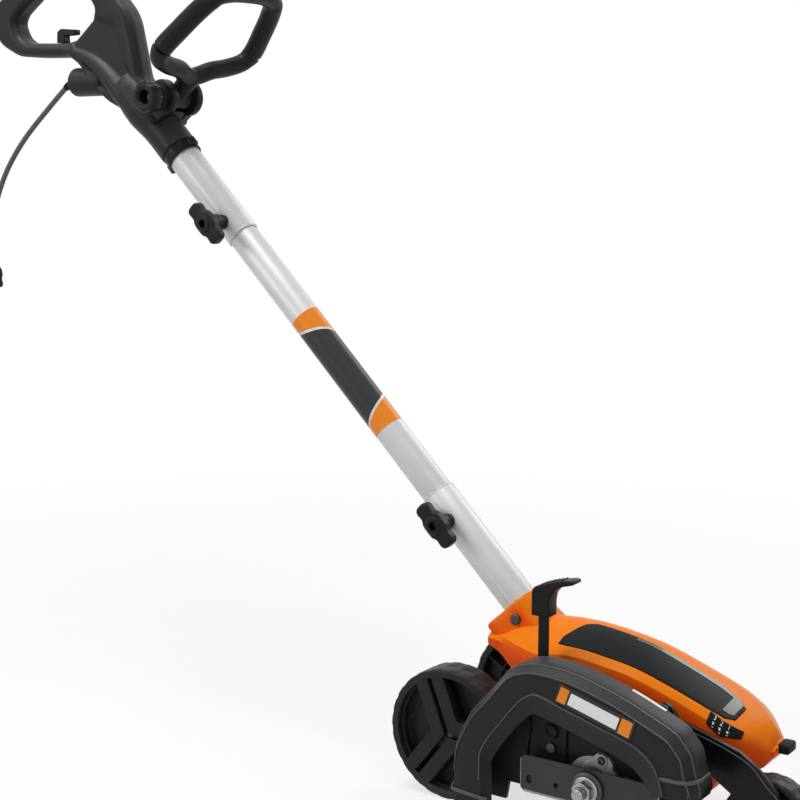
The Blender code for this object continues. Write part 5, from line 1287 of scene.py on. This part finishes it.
def aroundPoint(outline, middle, angle, radius):
    # how far a closed outline lies from a point, for each heading
    line = roundedCorners(outline, radius, 6)
    ahead = np.roll(line, -1, 0)
    share = np.linspace(0, 1, 12, endpoint=False)[None, :, None]
    line = (line[:, None] * (1 - share) + ahead[:, None] * share).reshape(-1, 2)
    away = line - middle
    turn = np.unwrap(np.arctan2(away[:, 1], away[:, 0]))
    if turn[-1] < turn[0]:
        turn, away = turn[::-1], away[::-1]
    reach = np.linalg.norm(away, axis=1)
    turns = np.concatenate([turn - 2 * np.pi, turn, turn + 2 * np.pi])
    return np.interp(angle, turns, np.tile(reach, 3))


def handleRing():
    # the closed grip: a rounded section between opening and outline, thinner in the web by the column
    angle = np.linspace(-np.pi, np.pi, 300, endpoint=False)
    middle = np.array(handle["middle"], float)
    outer = aroundPoint(handle["outline"], middle, angle, 9.0)
    inner = aroundPoint(handle["opening"], middle, angle, 7.0)
    span = outer - inner
    share = (1 - np.cos(np.linspace(0, np.pi, 33))) / 2
    reach = inner[:, None] + span[:, None] * share[None]
    fromEdge = np.minimum(reach - inner[:, None], outer[:, None] - reach)
    curve = np.minimum(handle["round"], span / 2)[:, None]
    depth = np.clip(fromEdge, 0, curve)
    half, corner = handle["half"], handle["round"]
    y = half - corner + corner * np.sqrt(1 - ((curve - depth) / curve) ** 2)
    y = np.where(fromEdge <= 0, half - corner, y)
    inWeb = np.clip((outer[:, None] - reach - handle["band"]) / 3.0, 0, 1)
    inWeb = inWeb * np.clip((span - 70)[:, None] / 12.0, 0, 1)
    y = y - handle["web"] * inWeb * inWeb * (3 - 2 * inWeb)
    x = middle[0] + reach * np.cos(angle)[:, None]
    z = middle[1] + reach * np.sin(angle)[:, None]
    front = np.stack([x, -y, z], -1)
    back = np.stack([x, y, z], -1)[:, ::-1]
    return gridShape(np.concatenate([front, back], 1), wrapRows=True)


def makeHandle():
    # grip, neck, root swelling and cord cup melted into one charcoal moulding with a slot for the trigger
    half = handle["slotHalf"]
    ring = worked(meshOf(handleRing(), 50), without(plateShape(handle["slot"], -half, half)))
    ring = (meshPoints(ring) * 1000 - origin, [list(face.vertices) for face in ring.polygons])
    neck = turnedShape(handle["neck"], onTube(0), tube["axis"], 64)
    cup = turnedShape(handle["cup"], handle["cupFrom"], (-1, 0, 0), 56)
    root = smoothLine(handle["root"], 5)
    swelling = tubeShape(sideLine(root[:, :2], 0.0), root[:, 2:], 32)
    placed("rear_handle_moulded", blendedMesh(joined(ring, neck, cup, swelling), 1.4, 3, 0.7), "upper_tube",
           "handle", ("handle_shell_right", "handle_shell_left"))

    wells = []
    for x, z, proud in handle["screws"]:
        level = handle["half"] + proud
        profile = [(0, level - 3), (4.6, level - 3), (4.9, level - 0.1), (4.5, level + 0.25),
                   (3.7, level + 0.25), (3.4, level - 1.4), (0, level - 1.4)]
        wells.append(turnedShape(profile, (x, 0, z), (0, 1, 0), 28))
    placed("handle_screws", joined(*wells), "upper_tube", "darkSteel")

    softened("trigger", "trigger", "orange", 0.7, "trigger_moulded")
    softened("lock_button", "lock_button", "rubber", 0.8, "lock_button_moulded", 3)
    softened("cord_hook", "upper_tube", "charcoal", 0.8, "cord_hook_moulded")
    softened("neck_collar", "upper_tube", "charcoal", 0.9, "neck_collar_moulded", 3)


makeHandle()

print("stage 12: front handle")
front = {
    "station": 952.0, "rise": 46.7, "barRadius": 12.2, "gripSwell": 1.1, "boltRadius": 4.3,
    "half": [(0, 38), (14, 42), (32, 51), (58, 57), (82, 68), (89, 86), (81, 118), (71, 150), (58, 173),
             (35, 182), (0, 184)],
    "stem": [(4, 13.6), (16, 13.0), (28, 13.4), (39, 14.4)],  # how far out, and radius there
    "barrel": [(0, -18), (14.6, -18), (15.5, -17), (15.5, -7.4), (14.7, -6.6), (14.7, 6.6), (15.5, 7.4),
               (15.5, 17), (14.6, 18), (0, 18)],
    "ear": [(0, 18.5), (22.4, 18.5), (24, 20), (24, 28), (22.4, 29.8), (0, 29.8)],
    "knob": [
        (4.3, 30.3), (15.6, 30.3), (16.4, 31.0), (16.4, 33.6), (14.8, 34.4), (14.8, 36.2), (16.9, 37.0),
        (16.9, 39.6), (15.2, 40.4), (15.2, 42.4), (17.4, 43.2), (20.0, 46.0), (20.7, 47.6), (20.7, 59.6),
        (19.6, 62.2), (17.4, 63.7), (15.2, 64.0), (12.0, 63.8), (10.4, 63.0), (9.4, 61.6), (9.1, 58),
        (9.0, 50), (4.3, 50)],
    "lobes": 8, "lobeDepth": 1.3}


def auxPoint(across, out):
    # a point of the loop's plane, which leans forward with the hub
    step = np.asarray(out) / math.sqrt(2)
    hub = onTube(front["station"], 0.0, front["rise"])
    return np.stack(np.broadcast_arrays(hub[0] + step, across, hub[2] + step), -1).astype(float)


def makeFrontHandle():
    # the loop, thicker along its two grips, with its stem and barrel melted together; bracket and lock knob
    outline = mirrored(front["half"])
    path = smoothLine(auxPoint(outline[:, 0], outline[:, 1]), 8, True)
    out = smoothLine(outline, 8, True)[:, 1]
    grip = np.clip((out - 74) / 7, 0, 1) * np.clip((176 - out) / 6, 0, 1)
    radius = front["barRadius"] + front["gripSwell"] * grip * grip * (3 - 2 * grip)
    loop = tubeShape(path, radius, 28, (1, 0, 1), True)
    reach, thick = np.array(front["stem"], float).T
    stem = tubeShape(auxPoint(0, reach), thick, 28)
    hub = auxPoint(0, 0)
    barrel = turnedShape(front["barrel"], hub, (0, -1, 0), 56)
    bore = rodShape(front["boltRadius"], -30, 30, hub, (0, -1, 0))
    mesh = worked(blendedMesh(joined(loop, stem, barrel), 1.3, 5, 0.75), without(bore), sharp=60)
    placed("front_loop_moulded", mesh, "aux_handle", "charcoal", ("aux_loop",))
    ears = joined(*(turnedShape(front["ear"], hub, (0, way, 0), 56) for way in (-1, 1)))
    bolt = rodShape(front["boltRadius"], -40, 40, hub, (0, 1, 0))
    saddle = worked(cadMesh("aux_bracket"), withAlso(ears), sharp=35)
    saddle = worked(saddle, without(bolt), bevelled(1.2, 3, 35), sharp=35)
    placed("loop_bracket", saddle, "upper_tube", "charcoal", ("aux_bracket",))
    softened("aux_nut", "upper_tube", "steel", 0.5, "loop_nut")

    def lobes(points, angle):
        # shallow finger flats round the grip
        band = (points[:, :1] > 18.5).astype(float)
        return -band * front["lobeDepth"] * (0.5 + 0.5 * np.cos(angle[None] * front["lobes"])) ** 3

    knob = turnedShape(front["knob"], (hub[0], 0, hub[2]), (0, -1, 0), 96, lobes, True)
    placed("loop_lock_knob", knob, "aux_knob", "charcoal", ("aux_knob",))


makeFrontHandle()

print("stage 13: finishes on the carried CAD pieces")
carried = {
    "steel": ("motor_rotor", "motor_bearing_right", "motor_bearing_left", "spindle_bearing_inner",
              "spindle_bearing_outer", "blade_spindle"),
    "darkSteel": ("guard_screw_1", "guard_screw_2", "socket_pin", "front_axle", "arm_pivot_shaft",
                  "lever_pivot_pin", "aux_bolt"),
    "cast": ("gearbox_case", "gearbox_plate"),
    "copper": ("motor_stator",),
    "black": ("switch_block", "cooling_fan"),
}
for lookName, names in carried.items():
    for nodeName in names:
        for holder in nodes[nodeName].material_slots:
            holder.material = looks[lookName][0]

print("stage 14: finish")
